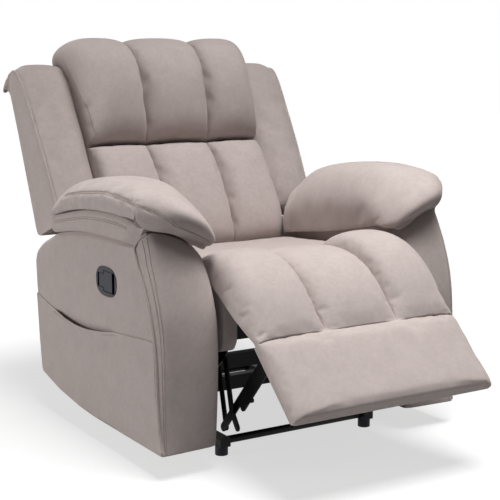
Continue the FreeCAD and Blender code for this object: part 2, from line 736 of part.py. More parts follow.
def rim_ellipse():
    """The rim's plate: an ellipse squared a little, laid on the arm."""
    half_y, half_z = size("bezel_length") / 2, size("bezel_height") / 2
    points = []
    for step in range(16):
        angle = math.radians(step * 22.5)
        reach = (abs(math.cos(angle)) ** 2.6 + abs(math.sin(angle)) ** 2.6) ** (-1 / 2.6)
        points.append(Vector(0, size("lever_y") + half_y * reach * math.cos(angle),
                             size("lever_z") + half_z * reach * math.sin(angle)))
    curve = Part.BSplineCurve()
    curve.interpolate(points, PeriodicFlag=True)
    face = Part.Face(Part.Wire([curve.toShape()]))
    face.translate(Vector(-size("arm_outer_x") - size("bezel_rim"), 0, 0))
    return soft("lever_rim", face.extrude(Vector(size("bezel_rim"), 0, 0)))


def lever_bezel():
    """Rim and cup in one moulding, with a T-shaped window, a finger recess and pin lugs."""
    back = "-arm_outer_x + cup_depth"
    cup = block("lever_cup", ("-arm_outer_x", back),
                ("lever_y - cup_length / 2", "lever_y + cup_length / 2"),
                ("lever_z - cup_height / 2", "lever_z + cup_height / 2"))
    room = block("lever_cup_room", ("-arm_outer_x", f"{back} - cup_wall"),
                 ("lever_y - cup_length / 2 + cup_wall", "lever_y + cup_length / 2 - cup_wall"),
                 ("lever_z - cup_height / 2 + cup_wall", "lever_z + cup_height / 2 - cup_wall"))
    grip_rear = "lever_y + 17"
    stem_rear = "lever_y + cup_length / 2 - cup_wall"
    grip = block("lever_window", (f"{LEVER_FACE} - 1", "-arm_outer_x + 1"),
                 ("lever_y - cup_length / 2 + cup_wall", grip_rear),
                 ("lever_z - paddle_height / 2 - paddle_gap",
                  "lever_z + paddle_height / 2 + paddle_gap"))
    stem = block("lever_stem_window", (f"{LEVER_FACE} - 1", "-arm_outer_x + 1"),
                 (f"{grip_rear} - 1", stem_rear),
                 ("lever_z - stem_height / 2 - paddle_gap",
                  "lever_z + stem_height / 2 + paddle_gap"))
    lugs = [block("lever_lug", ("-arm_outer_x", "-arm_outer_x + 8"),
                  (f"{stem_rear} - 16", stem_rear), span)
            for span in (("lever_z - cup_height / 2 + cup_wall",
                          "lever_z - stem_height / 2 - paddle_gap"),
                         ("lever_z + stem_height / 2 + paddle_gap",
                          "lever_z + cup_height / 2 - cup_wall"))]
    pin_hole = upright_bar("lever_pin_hole", "lever_pin_radius",
                           "lever_z - stem_height / 2 - paddle_gap - 6",
                           "lever_z + stem_height / 2 + paddle_gap + 6", *lever_pin_at())
    body = cut("lever_bezel", fuse("lever_bezel", cut("lever_cup", cup, room), rim_ellipse(),
                                   *lugs), grip, stem, pin_hole)
    keep(body, "lever_bezel")


def lever_pin_at():
    return "-arm_outer_x + barrel_radius - 1", "lever_y + cup_length / 2 - cup_wall - 8"


def lever():
    """T-shaped paddle that the sitter pulls outwards, and its pin."""
    pin = upright_bar("lever_pin", "lever_pin_radius",
                      "lever_z - stem_height / 2 - paddle_gap - 6",
                      "lever_z + stem_height / 2 + paddle_gap + 6", *lever_pin_at())
    keep(pin, "lever_pin")
    face, depth = f"{LEVER_FACE} + 0.5", f"{LEVER_FACE} + 0.5 + paddle_thickness"
    pin_x, pin_y = lever_pin_at()
    half_stem = "stem_height / 2"
    stem = block("paddle_stem", (face, depth), ("lever_y", pin_y),
                 (f"lever_z - {half_stem}", f"lever_z + {half_stem}"))
    grip = block("paddle_grip", (face, depth),
                 ("lever_y - cup_length / 2 + cup_wall + finger_gap",
                  "lever_y + 17 - paddle_gap"),
                 ("lever_z - paddle_height / 2", "lever_z + paddle_height / 2"))
    barrel = upright_bar("paddle_barrel", "barrel_radius", f"lever_z - {half_stem}",
                         f"lever_z + {half_stem}", pin_x, pin_y)
    bore = upright_bar("paddle_bore", "lever_pin_radius + running_gap", "lever_z - stem_height",
                       "lever_z + stem_height", pin_x, pin_y)
    keep(cut("lever_paddle", fuse("lever_paddle", stem, grip, barrel), bore), "lever_paddle")


def cable_hole():
    """Hole through the arm's inner padding where the cable leaves it."""
    return round_bar("cable_hole", "cable_radius * 5", "-arm_inner_x - arm_wall - 1",
                     "-arm_inner_x + 1", "latch_y - 34", "latch_z + 45")


def release_cable():
    """Sleeve from the lever's cup, down inside the arm, to the side plate above the latch."""
    inner, plate_face = size("arm_inner_x"), size("foot_x") + size("rail_width") / 2 + size("steel")
    cup_back = size("arm_outer_x") - size("cup_depth") - size("face_gap")
    lever_y, lever_z = size("lever_y"), size("lever_z") - 20
    latch_y, latch_z = size("latch_y"), size("latch_z")
    stops = [Vector(-cup_back, lever_y, lever_z), Vector(30 - cup_back, lever_y, lever_z),
             Vector(58 - cup_back, lever_y + 2, lever_z - 19),
             Vector(80 - cup_back, lever_y + 5, lever_z - 48),
             Vector(94 - cup_back, lever_y + 9, lever_z - 82),
             Vector(-inner - 23, latch_y - 38, latch_z + 54),
             Vector(4 - inner, latch_y - 31, latch_z + 34),
             Vector(-plate_face - 22, latch_y - 27, latch_z + 30),
             Vector(-plate_face - size("face_gap"), latch_y - 26, latch_z + 30)]
    keep(soft("release_cable", tube_along(stops, size("cable_radius"))), "release_cable")


def tube_along(stops, radius):
    """A round tube along straight runs joined by tangent arcs."""
    edges, start = [], stops[0]
    for before, corner, after in zip(stops, stops[1:], stops[2:]):
        inward, outward = (corner - before), (after - corner)
        reach = 0.45 * min(inward.Length, outward.Length)
        inward.normalize()
        outward.normalize()
        first, last = corner - inward * reach, corner + outward * reach
        half = inward.getAngle(outward) / 2
        turn_radius = reach / math.tan(half)
        towards_centre = (outward - inward).normalize()
        middle = corner + towards_centre * (turn_radius * (1 / math.cos(half) - 1))
        edges.append(Part.LineSegment(start, first).toShape())
        edges.append(Part.Arc(first, middle, last).toShape())
        start = last
    edges.append(Part.LineSegment(start, stops[-1]).toShape())
    path = Part.Wire(edges)
    direction = stops[1] - stops[0]
    ring = Part.Wire([Part.makeCircle(radius, stops[0], direction)])
    return path.makePipeShell([ring], True, True)


# ---------------------------------------------------------------- linkage

# the ear on the leg rest and the crank's pivot complete two parallelograms
EAR = ("hinge_y + cross_y - crank_y", "hinge_z + cross_z - crank_z")
DRIVE = ("tail_y + crank_y - cross_y", "tail_z + crank_z - cross_z")
HINGE, CRANK = ("hinge_y", "hinge_z"), ("crank_y", "crank_z")
CROSS, TAIL, STOP = ("cross_y", "cross_z"), ("tail_y", "tail_z"), ("stop_y", "stop_z")
CROSS_X = "seat_plate_x - link_pitch"
LIFT_X = "seat_plate_x - 2 * link_pitch"
DRIVE_X = "seat_plate_x - 3 * link_pitch - head_height - 2 * face_gap"
PIN_HOLE = "pin_radius + running_gap"


def rivet(name, pivot, face, reach_x):
    """A headed pin standing on the inner face of one plate, through the next."""
    shaft = round_bar(name + "_shaft", "pin_radius", f"{reach_x} - face_gap", face, *pivot)
    head = round_bar(name + "_head", "head_radius", f"{reach_x} - face_gap - head_height",
                     f"{reach_x} - face_gap", *pivot)
    return shaft, head


def cross_link():
    """Bent link from the seat's plate down to the end stop."""
    link = plate("cross_link", CROSS_X, slots=[(CRANK, CROSS, "link_radius"),
                                               (CROSS, STOP, "link_radius")],
                 holes=[(CRANK, PIN_HOLE)])
    stop = round_bar("link_stop", "head_radius", f"{CROSS_X} - 1", f"{CROSS_X} + steel + 1", *STOP)
    pair(fuse("cross_link", link, stop, *rivet("cross_rivet", CROSS, CROSS_X, LIFT_X)),
         "cross_link")


def lift_link():
    """Wide link from the drive link up to the leg rest, with a stop peg on its front edge."""
    dy, dz = f"({EAR[0]} - cross_y)", f"({EAR[1]} - cross_z)"
    length = f"sqrt({dy} ^ 2 + {dz} ^ 2)"

    def beside(along, step):
        return (f"cross_y + {along} * {dy} - ({step}) * {dz} / {length}",
                f"cross_z + {along} * {dz} + ({step}) * {dy} / {length}")

    link = plate("lift_link", LIFT_X,
                 slots=[(TAIL, EAR, "wide_link_radius"),
                        (beside(0.2, "wide_link_step"), beside(0.86, "wide_link_step"),
                         "wide_link_radius")],
                 holes=[(CROSS, PIN_HOLE), (EAR, PIN_HOLE)])
    peg = round_bar("link_peg", "head_radius - 1", f"{LIFT_X} - 2", f"{LIFT_X} + steel + 1",
                    *beside(0.41, "wide_link_step + wide_link_radius + 1"))
    pair(fuse("lift_link", link, peg, *rivet("tail_rivet", TAIL, LIFT_X, DRIVE_X)), "lift_link")


def drive_link():
    pair(plate("drive_link", DRIVE_X, slots=[(DRIVE, TAIL, "link_radius")],
               holes=[(DRIVE, PIN_HOLE), (TAIL, PIN_HOLE)]), "drive_link")


def latch():
    """Latch outside the right side plate that the cable trips, and its pivot."""
    face = "-foot_x - rail_width / 2 - steel"
    shaft = round_bar("latch_shaft", "pin_radius", f"{face} - 2 * steel", face,
                      "latch_y", "latch_z")
    head = round_bar("latch_head", "head_radius", f"{face} - 2 * steel - head_height",
                     f"{face} - 2 * steel", "latch_y", "latch_z")
    keep(fuse("latch_pivot", shaft, head), "latch_pivot")
    hook = plate("latch", f"{face} - steel - 2",
                 slots=[(("latch_y", "latch_z"), ("latch_y - latch_length", "latch_z + 6"),
                         "link_radius")],
                 holes=[(("latch_y", "latch_z"), PIN_HOLE)])
    keep(hook, "latch")


# ---------------------------------------------------------------- seat

def seat_plate():
    """Steel side of the seat, with the hinge arm of the leg rest and all its pins."""
    outline = [("deck_front_y - 10", "deck_z - 45"), ("deck_front_y + 18", "deck_z - 15"),
               ("front_rail_y + 30", "seat_rail_z + 20"), ("recline_y + 25", "seat_rail_z + 20"),
               ("recline_y + 25", "recline_z - 25"), ("recline_y - 20", "recline_z - 40"),
               ("slide_front_y + 10", "slide_z - 27"),
               (f"{DRIVE[0]} - 12", f"{DRIVE[1]} - 19"),
               ("crank_y - 20", "crank_z - 22"), ("crank_y - 50", "crank_z + 38")]
    arm = (HINGE, ("hinge_y + 80", "hinge_z - 60"), "2 * head_radius")
    steel_plate = plate("seat_plate", "seat_plate_x", outlines=[outline], slots=[arm])
    pins = [part for name, pivot, reach in (("hinge_rivet", HINGE, CROSS_X),
                                            ("crank_rivet", CRANK, CROSS_X),
                                            ("drive_rivet", DRIVE, DRIVE_X))
            for part in rivet(name, pivot, "seat_plate_x", reach)]
    recline_pin = round_bar("recline_pin", "recline_pin_radius",
                            f"{CROSS_X} - face_gap", "seat_plate_x", "recline_y", "recline_z")
    recline_head = round_bar("recline_head", "recline_pin_radius + 4",
                             f"{CROSS_X} - face_gap - head_height", f"{CROSS_X} - face_gap",
                             "recline_y", "recline_z")
    slides = [round_bar("slide_pin", "slide_pin_radius", "seat_plate_x + steel",
                        "seat_plate_x + steel + 10", y, "slide_z")
              for y in ("slide_front_y", "slide_rear_y")]
    pair(fuse("seat_plate", steel_plate, *pins, recline_pin, recline_head, *slides),
         "seat_plate")


def seat_frame():
    """Wooden rails, the front deck and the sinuous springs between the rails."""
    side = block("seat_side_rail", ("seat_plate_x + steel", "seat_plate_x + steel + wood"),
                 ("front_rail_y + wood + 2", "recline_y"),
                 ("seat_rail_z", "seat_rail_z + seat_rail_height"))
    pair(side, "seat_side_rail")
    span = ("-seat_plate_x", "seat_plate_x")
    keep(block("seat_front_rail", span, ("front_rail_y", "front_rail_y + wood"),
               ("seat_rail_z", "deck_z")), "seat_front_rail")
    keep(block("seat_rear_rail", span, ("rear_rail_y - wood", "rear_rail_y"),
               ("seat_rail_z", "seat_rail_z + seat_rail_height")), "seat_rear_rail")
    keep(block("front_deck", ("23 - seat_plate_x", "seat_plate_x - 23"),
               ("deck_front_y", "front_rail_y + wood + 2"), ("deck_z", "deck_z + deck_thickness")),
         "front_deck")
    keep(soft("seat_springs", seat_springs()), "seat_springs")


def seat_springs():
    """Five sinuous springs, each a wire bent to and fro from rail to rail."""
    end_gap = size("face_gap") + size("spring_radius")
    start = size("front_rail_y") + size("wood") + end_gap
    length = size("rear_rail_y") - size("wood") - end_gap - start
    z = size("seat_rail_z") + size("seat_rail_height") - 3 * size("spring_radius")
    turns = 10
    step, reach = length / turns, size("spring_amplitude")
    springs = []
    for column in range(-2, 3):
        x = column * size("spring_spacing")
        corners = [Vector(x, start, z)]
        for turn in range(turns):
            side = reach if turn % 2 else -reach
            corners += [Vector(x + side, start + turn * step + step / 4, z),
                        Vector(x + side, start + turn * step + 3 * step / 4, z)]
        corners.append(Vector(x, start + length, z))
        springs.append(tube_along(corners, size("spring_radius")))
    return Part.makeCompound(springs)


def seat_cushion():
    """Main seat cushion, dished towards the back, with lowered sides."""
    half, front = size("seat_half_width"), size("seat_split_y") + size("soft_gap")
    rear, top = size("seat_rear_y"), size("seat_top_z")
    floor = size("seat_rail_z") + size("seat_rail_height") + size("soft_gap")
    wires = []
    for share, fall in ((-1, 26), (-0.93, 14), (-0.6, 4), (0, 0), (0.6, 4), (0.93, 14), (1, 26)):
        fallen = [(front, top), (front + 98, top - 20), (front + 198, top - 32),
                  (front + 298, top - 41), (rear, top - size("seat_dish"))]
        crown = [(y, z - fall) for y, z in fallen]
        wires.append(section(share * half, [crown, [crown[-1], (rear, floor)],
                                            [(rear, floor), (front, floor)],
                                            [(front, floor), crown[0]]]))
    keep(soft("seat_cushion", lofted(wires, ruled=True)), "seat_cushion")


def seat_front_pad():
    """Front of the seat: a hollow roll about the leg rest's hinge and a deep pad behind it."""
    half = size("seat_half_width")
    y, z, outer = size("hinge_y"), size("hinge_z"), size("roll_radius")
    inner = outer - size("roll_thickness")
    back, floor = size("seat_split_y"), size("seat_rail_z") + size("seat_rail_height")
    step = size("front_rail_y") + size("wood") + 3
    lift = size("deck_z") + size("deck_thickness") + size("soft_gap")
    edge = size("deck_front_y") - 4
    slope = math.sqrt(0.5)
    big = Part.Arc(Vector(0, y - outer, z), Vector(0, y - outer * slope, z + outer * slope),
                   Vector(0, y, z + outer)).toShape()
    small = Part.Arc(Vector(0, y, z + inner), Vector(0, y - inner * slope, z + inner * slope),
                     Vector(0, y - inner, z)).toShape()
    crown = edge_through([Vector(0, y, z + outer), Vector(0, y + 60, z + outer + 4),
                          Vector(0, y + 130, z + outer), Vector(0, back, size("seat_top_z"))])
    floor += size("soft_gap")
    under = Part.makePolygon([Vector(0, *point) for point in (
        (back, size("seat_top_z")), (back, floor), (step, floor), (step, lift), (edge, lift),
        (edge, z + inner), (y, z + inner))])
    tip = Part.LineSegment(Vector(0, y - inner, z), Vector(0, y - outer, z)).toShape()
    outline = Part.Wire([big, crown] + list(under.Edges) + [small, tip])
    face = Part.Face(outline)
    face.translate(Vector(-half, 0, 0))
    keep(soft("seat_front_pad", face.extrude(Vector(2 * half, 0, 0))), "seat_front_pad")


def seat_corners():
    """Upholstered corners of the seat box, beside the linkage."""
    corner = block("seat_corner", ("seat_plate_x + steel + face_gap", "seat_half_width - 5"),
                   ("corner_front_y", "front_rail_y + wood"),
                   ("corner_bottom_z", "deck_z + deck_thickness"))
    rail_room = block("corner_notch", ("seat_plate_x + steel", "seat_half_width - 4"),
                      ("front_rail_y", "front_rail_y + wood + 1"),
                      ("corner_bottom_z - 1", "side_plate_top_z + 30"))
    pair(cut("seat_corner", corner, rail_room), "seat_corner")


# ---------------------------------------------------------------- leg rest

def leg_rest():
    board_top, board_low = "leg_pad_back - face_gap", "leg_pad_back - face_gap - leg_board"
    body = new_body("leg_board")
    sketch = new_sketch(body)
    reach = "leg_length - 14"
    draw_outline(sketch, [("-roll_radius - 6", board_low), (f"-({reach})", board_low),
                          (f"-({reach})", board_top), ("-roll_radius - 6", board_top)])
    pad(body, sketch, "2 * leg_half_width - 16")
    keep(place_body(body, "8 - leg_half_width", *HINGE, tilt="leg_tilt"), "leg_board")
    keep(leg_piece("leg_pad", leg_pad()), "leg_pad")
    turn_y = "cross_y - crank_y"
    turn_z = "cross_z - crank_z"
    ear = (f"cos(leg_tilt * 1 deg) * ({turn_y}) + sin(leg_tilt * 1 deg) * ({turn_z})",
           f"cos(leg_tilt * 1 deg) * ({turn_z}) - sin(leg_tilt * 1 deg) * ({turn_y})")
    low = f"{board_low} - face_gap"
    outline = [("0", "-3"), ("-roll_radius - 4", low), ("-roll_radius - 150", low),
               ("-roll_radius - 150", f"{low} - 12"), (f"{ear[0]} - 13", f"{ear[1]} - 8"),
               (f"{ear[0]} + 9", f"{ear[1]} - 11"), ("10", "-9")]
    bracket = plate("leg_bracket", CROSS_X, outlines=[outline],
                    slots=[(("0", "0"), ("-2", "-1"), "2 * head_radius - 1")],
                    holes=[(("0", "0"), PIN_HOLE)], tilt="leg_tilt", at=HINGE)
    pair(fuse("leg_bracket", bracket, *rivet("ear_rivet", EAR, CROSS_X, LIFT_X)), "leg_bracket")


def leg_pad():
    """Padding of the leg rest: three-column crown, a cross seam and a plain lower panel."""
    half, back = size("leg_half_width"), size("leg_pad_back")
    start, length = size("roll_radius") - 8, size("leg_length")
    seam, seam_z = size("leg_seam"), size("leg_seam_height")
    wires = []
    for share, crown in ((-1, 0.2), (-0.93, 0.75), (-0.8, 1), (-0.36, 0.88), (0, 1), (0.36, 0.88),
                         (0.8, 1), (0.93, 0.75), (1, 0.2)):
        high = size("leg_crown") * crown
        panel = size("leg_panel_height") * crown
        dip = seam_z * crown
        first, last = (-start * 0.62, high * 1.04), (-start * 0.62, back)
        top = [first, (-(start + seam) / 2, high * 0.84), (-seam, dip),
               (-(seam + length) / 2, panel), (8 - length, panel * 0.7)]
        nose = [top[-1], (-length, (panel + back) / 3), (4 - length, back)]
        wires.append(section(share * half, [top, nose, [nose[-1], last], [last, first]]))
    roll = Part.makeCylinder(size("roll_radius") + size("soft_gap"), 2 * half + 2,
                             Vector(-half - 1, 0, 0), Vector(1, 0, 0))
    return lofted(wires, ruled=True).cut(roll)


# ---------------------------------------------------------------- back

# upper end of the steel brackets, and how deep they reach into the frame's bottom rail
BRACKET_TOP = ("frame_front + frame_depth / 2", "waist_top - 30")
BRACKET_LEAN = f"({BRACKET_TOP[0]}) / ({BRACKET_TOP[1]})"
BRACKET_REAR = f"(frame_bottom + stile) * {BRACKET_LEAN} + post_width / 2 + 3"


def ring(body, outer, inner):
    sketch = new_sketch(body, "XZ_Plane")
    draw_outline(sketch, outer)
    if inner:
        draw_outline(sketch, inner)
    return sketch


def stepped(half_low, half_high, bottom, step, top):
    """Outline of a panel that is narrow between the arms and wide above them."""
    return [(f"-({half_low})", bottom), (half_low, bottom), (half_low, step), (half_high, step),
            (half_high, top), (f"-({half_high})", top), (f"-({half_high})", step),
            (f"-({half_low})", step)]


def back_frame():
    """Wooden frame of the back, as one ring of boards."""
    body = new_body("back_frame")
    sketch = ring(body, stepped("waist_half_width", "frame_half_width", "frame_bottom",
                                "waist_top", "frame_top"),
                  stepped(f"{CROSS_X} + steel + face_gap", "frame_half_width - stile",
                          "frame_bottom + stile", "waist_top + stile", "frame_top - stile"))
    pad(body, sketch, "frame_depth", back="-frame_front - frame_depth")
    doc.recompute()
    notch = new_sketch(body, "XY_Plane")
    for side in ("", "-"):
        near, far = f"{side}({CROSS_X} - face_gap)", f"{side}({CROSS_X} + steel + face_gap)"
        draw_outline(notch, [(near, "frame_front - 1"), (far, "frame_front - 1"),
                             (far, BRACKET_REAR), (near, BRACKET_REAR)])
    pocket_through(body, notch, "2 * (frame_bottom + stile)")
    keep(place_body(body, "0", "recline_y", "recline_z", "-rake"), "back_frame")
    body = new_body("back_cover")
    sketch = ring(body, stepped("waist_half_width - 1", "frame_half_width - 1", "cover_bottom",
                                "waist_top - 8", "frame_top - 2"), None)
    pad(body, sketch, "cover_thickness",
        back="-frame_front - frame_depth - face_gap - cover_thickness")
    keep(place_body(body, "0", "recline_y", "recline_z", "-rake"), "back_cover")
    bracket = plate("back_bracket", CROSS_X,
                    slots=[(("0", "0"), BRACKET_TOP, "post_width / 2")],
                    holes=[(("0", "0"), "recline_pin_radius + running_gap")], tilt="-rake",
                    at=("recline_y", "recline_z"))
    pair(bracket, "back_bracket")
    keep(back_piece("back_straps", back_straps()), "back_straps")


def back_straps():
    """Elastic straps across the frame, in front of its opening."""
    straps = []
    low, high = size("frame_bottom") + size("stile"), size("frame_top") - size("stile")
    gap = size("face_gap")
    for z in (low + 25, low + 105):
        half = size("seat_plate_x") - size("link_pitch") - gap
        straps.append((half, z))
    for share in (0.42, 0.58, 0.74, 0.9):
        half = size("frame_half_width") - size("stile") - gap
        straps.append((half, low + (high - low) * share))
    solids = [Part.makeBox(2 * half, size("strap_thickness"), size("strap_width"),
                           Vector(-half, size("frame_front"), z)) for half, z in straps]
    return Part.makeCompound(solids)


# front of each cushion row: height as a share of the row, bulge as a share of its depth
LUMBAR_ROW = [(0, 0.56), (0.09, 0.86), (0.24, 0.98), (0.42, 1), (0.6, 0.94), (0.76, 0.85),
              (0.9, 0.68)]
HEAD_ROW = [(0.06, 0.6), (0.16, 0.8), (0.31, 0.93), (0.47, 1), (0.63, 0.98), (0.78, 0.87),
            (0.9, 0.66), (0.97, 0.38)]


def column_wires(outline):
    """Three columns side by side: sections at their edges, crowns and creases."""
    half, middle = size("cushion_half_width"), size("column_half_width")
    crown = (half + middle) / 2
    places = [(-half, 0.62), (10 - half, 0.84), (-crown, 1), (-middle - 9, 0.95), (-middle, 0.84),
              (9 - middle, 0.95), (0, 1), (middle - 9, 0.95), (middle, 0.84), (middle + 9, 0.95),
              (crown, 1), (half - 10, 0.84), (half, 0.62)]
    return [outline(x, bulge) for x, bulge in places]


def lumbar_outline(x, bulge):
    low, high = size("lumbar_bottom"), size("row_seam") - size("soft_gap") / 2
    rest = size("frame_front") - size("face_gap")
    front = [(-size("lumbar_depth") * depth * bulge, low + (high - low) * share)
             for share, depth in LUMBAR_ROW] + [(-size("seam_depth") * bulge, high)]
    return section(x, [front, [front[-1], (rest, high)], [(rest, high), (rest, low)],
                       [(rest, low), front[0]]])


def head_outline(x, bulge):
    low, high = size("row_seam") + size("soft_gap") / 2, size("back_top")
    rest, behind = size("frame_front") - size("face_gap"), size("frame_front") + size("frame_depth")
    ledge = size("frame_top") + size("soft_gap")
    front = [(-size("seam_depth") * bulge, low)]
    front += [(-size("head_depth") * depth * bulge, low + (high - low) * share)
              for share, depth in HEAD_ROW]
    peak = high - 80 * (1 - bulge)
    front.append((-8, peak))
    over = [front[-1], (behind * 0.6, peak - 14), (behind, peak - 52), (behind, ledge)]
    return section(x, [front, over[:3], over[2:], [over[-1], (rest, ledge)],
                       [(rest, ledge), (rest, low)], [(rest, low), front[0]]])


def back_cushions():
    keep(back_piece("lumbar_cushion", lofted(column_wires(lumbar_outline), ruled=True)),
         "lumbar_cushion")
    keep(back_piece("head_cushion", lofted(column_wires(head_outline), ruled=True)),
         "head_cushion")


# front of the wing: height above the hinge, share of the wing's depth
WING_FRONT = [(0, 0.98), (110, 1), (215, 0.88), (330, 0.66), (430, 0.36), (490, -0.1)]


def wing_section(x, bulge, inset=0.0):
    bottom, top = size("waist_top") - 10, size("wing_top")
    rear = size("frame_front") + size("frame_depth") + size("cover_thickness")
    front = [(-size("wing_depth") * depth * bulge + inset, bottom + z)
             for z, depth in WING_FRONT]
    over = [front[-1], (24, top - inset), (rear + 8 - inset, top - 14 - inset)]
    back = [over[-1], (rear + 10 - inset, top - 44), (rear - inset, top - 70)]
    return section(x, [front, over, back, [back[-1], (rear - inset, bottom)],
                       [(rear - inset, bottom), front[0]]])


def back_wings():
    """Padded wings outside the cushions, wrapped round the frame's stiles."""
    inner, outer = size("cushion_half_width") + 1, size("back_half_width")
    wide = outer - inner
    wing = lofted([wing_section(inner + wide * across, bulge, inset)
                   for across, bulge, inset in ((0, 0.8, 0), (0.15, 1.05, 0), (0.5, 1.2, 0),
                                                (0.85, 1.1, 0), (1, 0.9, 4))], ruled=True)
    gap = size("face_gap")
    bottom, front = size("waist_top") - 11, size("frame_front") - gap
    behind = size("frame_front") + size("frame_depth") + size("cover_thickness") + 60
    room = Part.makeBox(size("frame_half_width") + gap - inner + 1, behind - front,
                        size("frame_top") + gap - bottom, Vector(inner - 1, front, bottom))
    pair(back_piece("back_wing", wing.cut(room)), "back_wing")


# ---------------------------------------------------------------- build and write

def check_and_write():
    doc.recompute()
    for obj in doc.Objects:
        if "Invalid" in obj.State or "Error" in obj.State:
            raise RuntimeError(f"{obj.Label} failed: {obj.State}")
    for obj in SUBPARTS:
        if obj.Shape.isNull() or not obj.Shape.isValid() or not obj.Shape.Solids:
            raise RuntimeError(f"{obj.Label} has no valid solid")
    os.makedirs("parts", exist_ok=True)
    box = FreeCAD.BoundBox()
    for obj in SUBPARTS:
        obj.Shape.exportStep(f"parts/{obj.Label}.step")
        box.add(obj.Shape.BoundBox)
    print(f"{len(SUBPARTS)} sub-parts, {box.XLength:.1f} x {box.YLength:.1f} x {box.ZLength:.1f} mm")
    print(f"box centre y {box.Center.y:.2f}, bottom {box.ZMin:.2f}")


for make in (base_frame, side_plates, arm_spacers, arms, side_pocket, lever_bezel, lever,
             release_cable, latch, seat_plate, seat_frame, seat_cushion, seat_front_pad,
             seat_corners, cross_link, lift_link, drive_link, leg_rest, back_frame,
             back_cushions, back_wings):
    make()
check_and_write()
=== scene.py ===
# %% [markdown]
# # A recliner armchair in brushed microfibre
# The chair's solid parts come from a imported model: steel, boards, hinges and plain soft solids.
# This notebook dresses them.  Soft solids are replaced by cushions with seams, creases and
# stitching, and the steel, plastic and wood keep their solids and get their finishes.

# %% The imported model
import json
import math

import bpy
import numpy as np
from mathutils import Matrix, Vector
from mathutils.bvhtree import BVHTree

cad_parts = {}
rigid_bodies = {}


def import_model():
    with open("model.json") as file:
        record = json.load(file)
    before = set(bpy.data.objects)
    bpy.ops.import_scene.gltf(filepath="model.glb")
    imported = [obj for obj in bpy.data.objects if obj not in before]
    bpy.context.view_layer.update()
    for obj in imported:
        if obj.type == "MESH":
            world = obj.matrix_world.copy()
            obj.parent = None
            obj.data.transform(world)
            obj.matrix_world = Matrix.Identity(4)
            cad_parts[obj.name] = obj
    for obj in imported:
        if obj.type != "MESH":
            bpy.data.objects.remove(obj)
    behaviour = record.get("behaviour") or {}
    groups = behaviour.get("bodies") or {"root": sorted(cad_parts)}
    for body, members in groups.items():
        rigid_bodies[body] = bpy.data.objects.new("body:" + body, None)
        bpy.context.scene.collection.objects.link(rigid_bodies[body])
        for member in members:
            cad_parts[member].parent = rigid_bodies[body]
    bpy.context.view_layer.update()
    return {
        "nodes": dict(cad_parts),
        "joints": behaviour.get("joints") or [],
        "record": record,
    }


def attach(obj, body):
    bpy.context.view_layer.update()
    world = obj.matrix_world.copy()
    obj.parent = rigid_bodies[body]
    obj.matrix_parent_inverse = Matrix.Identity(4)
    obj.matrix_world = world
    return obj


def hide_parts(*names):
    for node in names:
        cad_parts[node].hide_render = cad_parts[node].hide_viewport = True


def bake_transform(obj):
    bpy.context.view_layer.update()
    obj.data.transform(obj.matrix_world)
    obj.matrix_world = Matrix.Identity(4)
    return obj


for leftover in list(bpy.data.objects):
    bpy.data.objects.remove(leftover)
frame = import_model()
hinges = {j["name"]: Vector(j["pos_m"]) for j in frame["joints"] if j["type"] == "hinge"}

# %% [markdown]
# ## Measures
# A chair maker draws each part level in its own drawing: depths from the front of the arms, the
# back upright above its hinge, the leg rest level in front of its hinge.  Three small functions
# put such drawings, in millimetres, into the chair.

# %% Places on the chair
SIDES = {"left": 1, "right": -1}
ARM_FRONT_Y = hinges["back_recline"].y - 0.600
RAKE, LEG_TILT = math.radians(24), math.radians(43)
LEG_HINGE_Y, LEG_HINGE_Z = -80, 460


def on_chair(x, y, z):
    """Millimetres, with depth counted from the arms' front, to metres on the chair."""
    return np.stack(np.broadcast_arrays(x / 1000, ARM_FRONT_Y + y / 1000, z / 1000), axis=-1)


def on_back(x, up, forward):
    """Millimetres up the back from its hinge and forward of it."""
    hinge = hinges["back_recline"]
    y = hinge.y + (up * math.sin(RAKE) - forward * math.cos(RAKE)) / 1000
    z = hinge.z + (up * math.cos(RAKE) + forward * math.sin(RAKE)) / 1000
    return np.stack(np.broadcast_arrays(x / 1000, y, z), axis=-1)


def leg_drawing(along, out):
    """Millimetres down the leg rest from its hinge and out of it, as depth and height."""
    return (LEG_HINGE_Y - along * math.cos(LEG_TILT) - out * math.sin(LEG_TILT),
            LEG_HINGE_Z - along * math.sin(LEG_TILT) + out * math.cos(LEG_TILT))


def to_side(places, side):
    """Places drawn for the chair's left, moved to the side they are for."""
    return places * (SIDES[side], 1, 1)


print("arms' front at y", round(ARM_FRONT_Y, 4))

# %% [markdown]
# ## Camera, floor and light
# The chair stands on a white sweep as in a catalogue.  The lens is long, so the lines of the
# chair hardly converge.  A large soft lamp hangs overhead, a little in front, and models every
# cushion from above.  A lower one beside the chair's right arm lights that arm's side, and a
# dim white world keeps the shadows open.

# %% Camera
bpy.ops.object.camera_add(location=on_chair(-1769.0, -2535.0, 1039.0))
camera = bpy.context.object
camera.data.lens = 88.0
look = Vector(on_chair(-137.0, 100.0, 527.0)) - camera.location
camera.rotation_euler = look.to_track_quat("-Z", "Y").to_euler()
bpy.context.scene.camera = camera
bpy.context.scene.view_settings.view_transform = "Standard"
print("camera", [round(v, 3) for v in camera.location])


# %% Colours and nodes
def colour(code):
    """An sRGB hex code as a linear colour."""
    parts = [int(code[i:i + 2], 16) / 255 for i in (0, 2, 4)]
    return [c / 12.92 if c <= 0.04045 else ((c + 0.055) / 1.055) ** 2.4 for c in parts] + [1.0]


def add(tree, kind, links=(), **settings):
    """Add one node: settings are its properties or, with a socket's name, its inputs."""
    made = tree.nodes.new(kind)
    for name, value in settings.items():
        socket = made.inputs.get(name.replace("_", " "))
        if hasattr(made, name):
            setattr(made, name, value)
        else:
            socket.default_value = value
    for name, source in dict(links).items():
        tree.links.new(source, made.inputs[name])
    return made


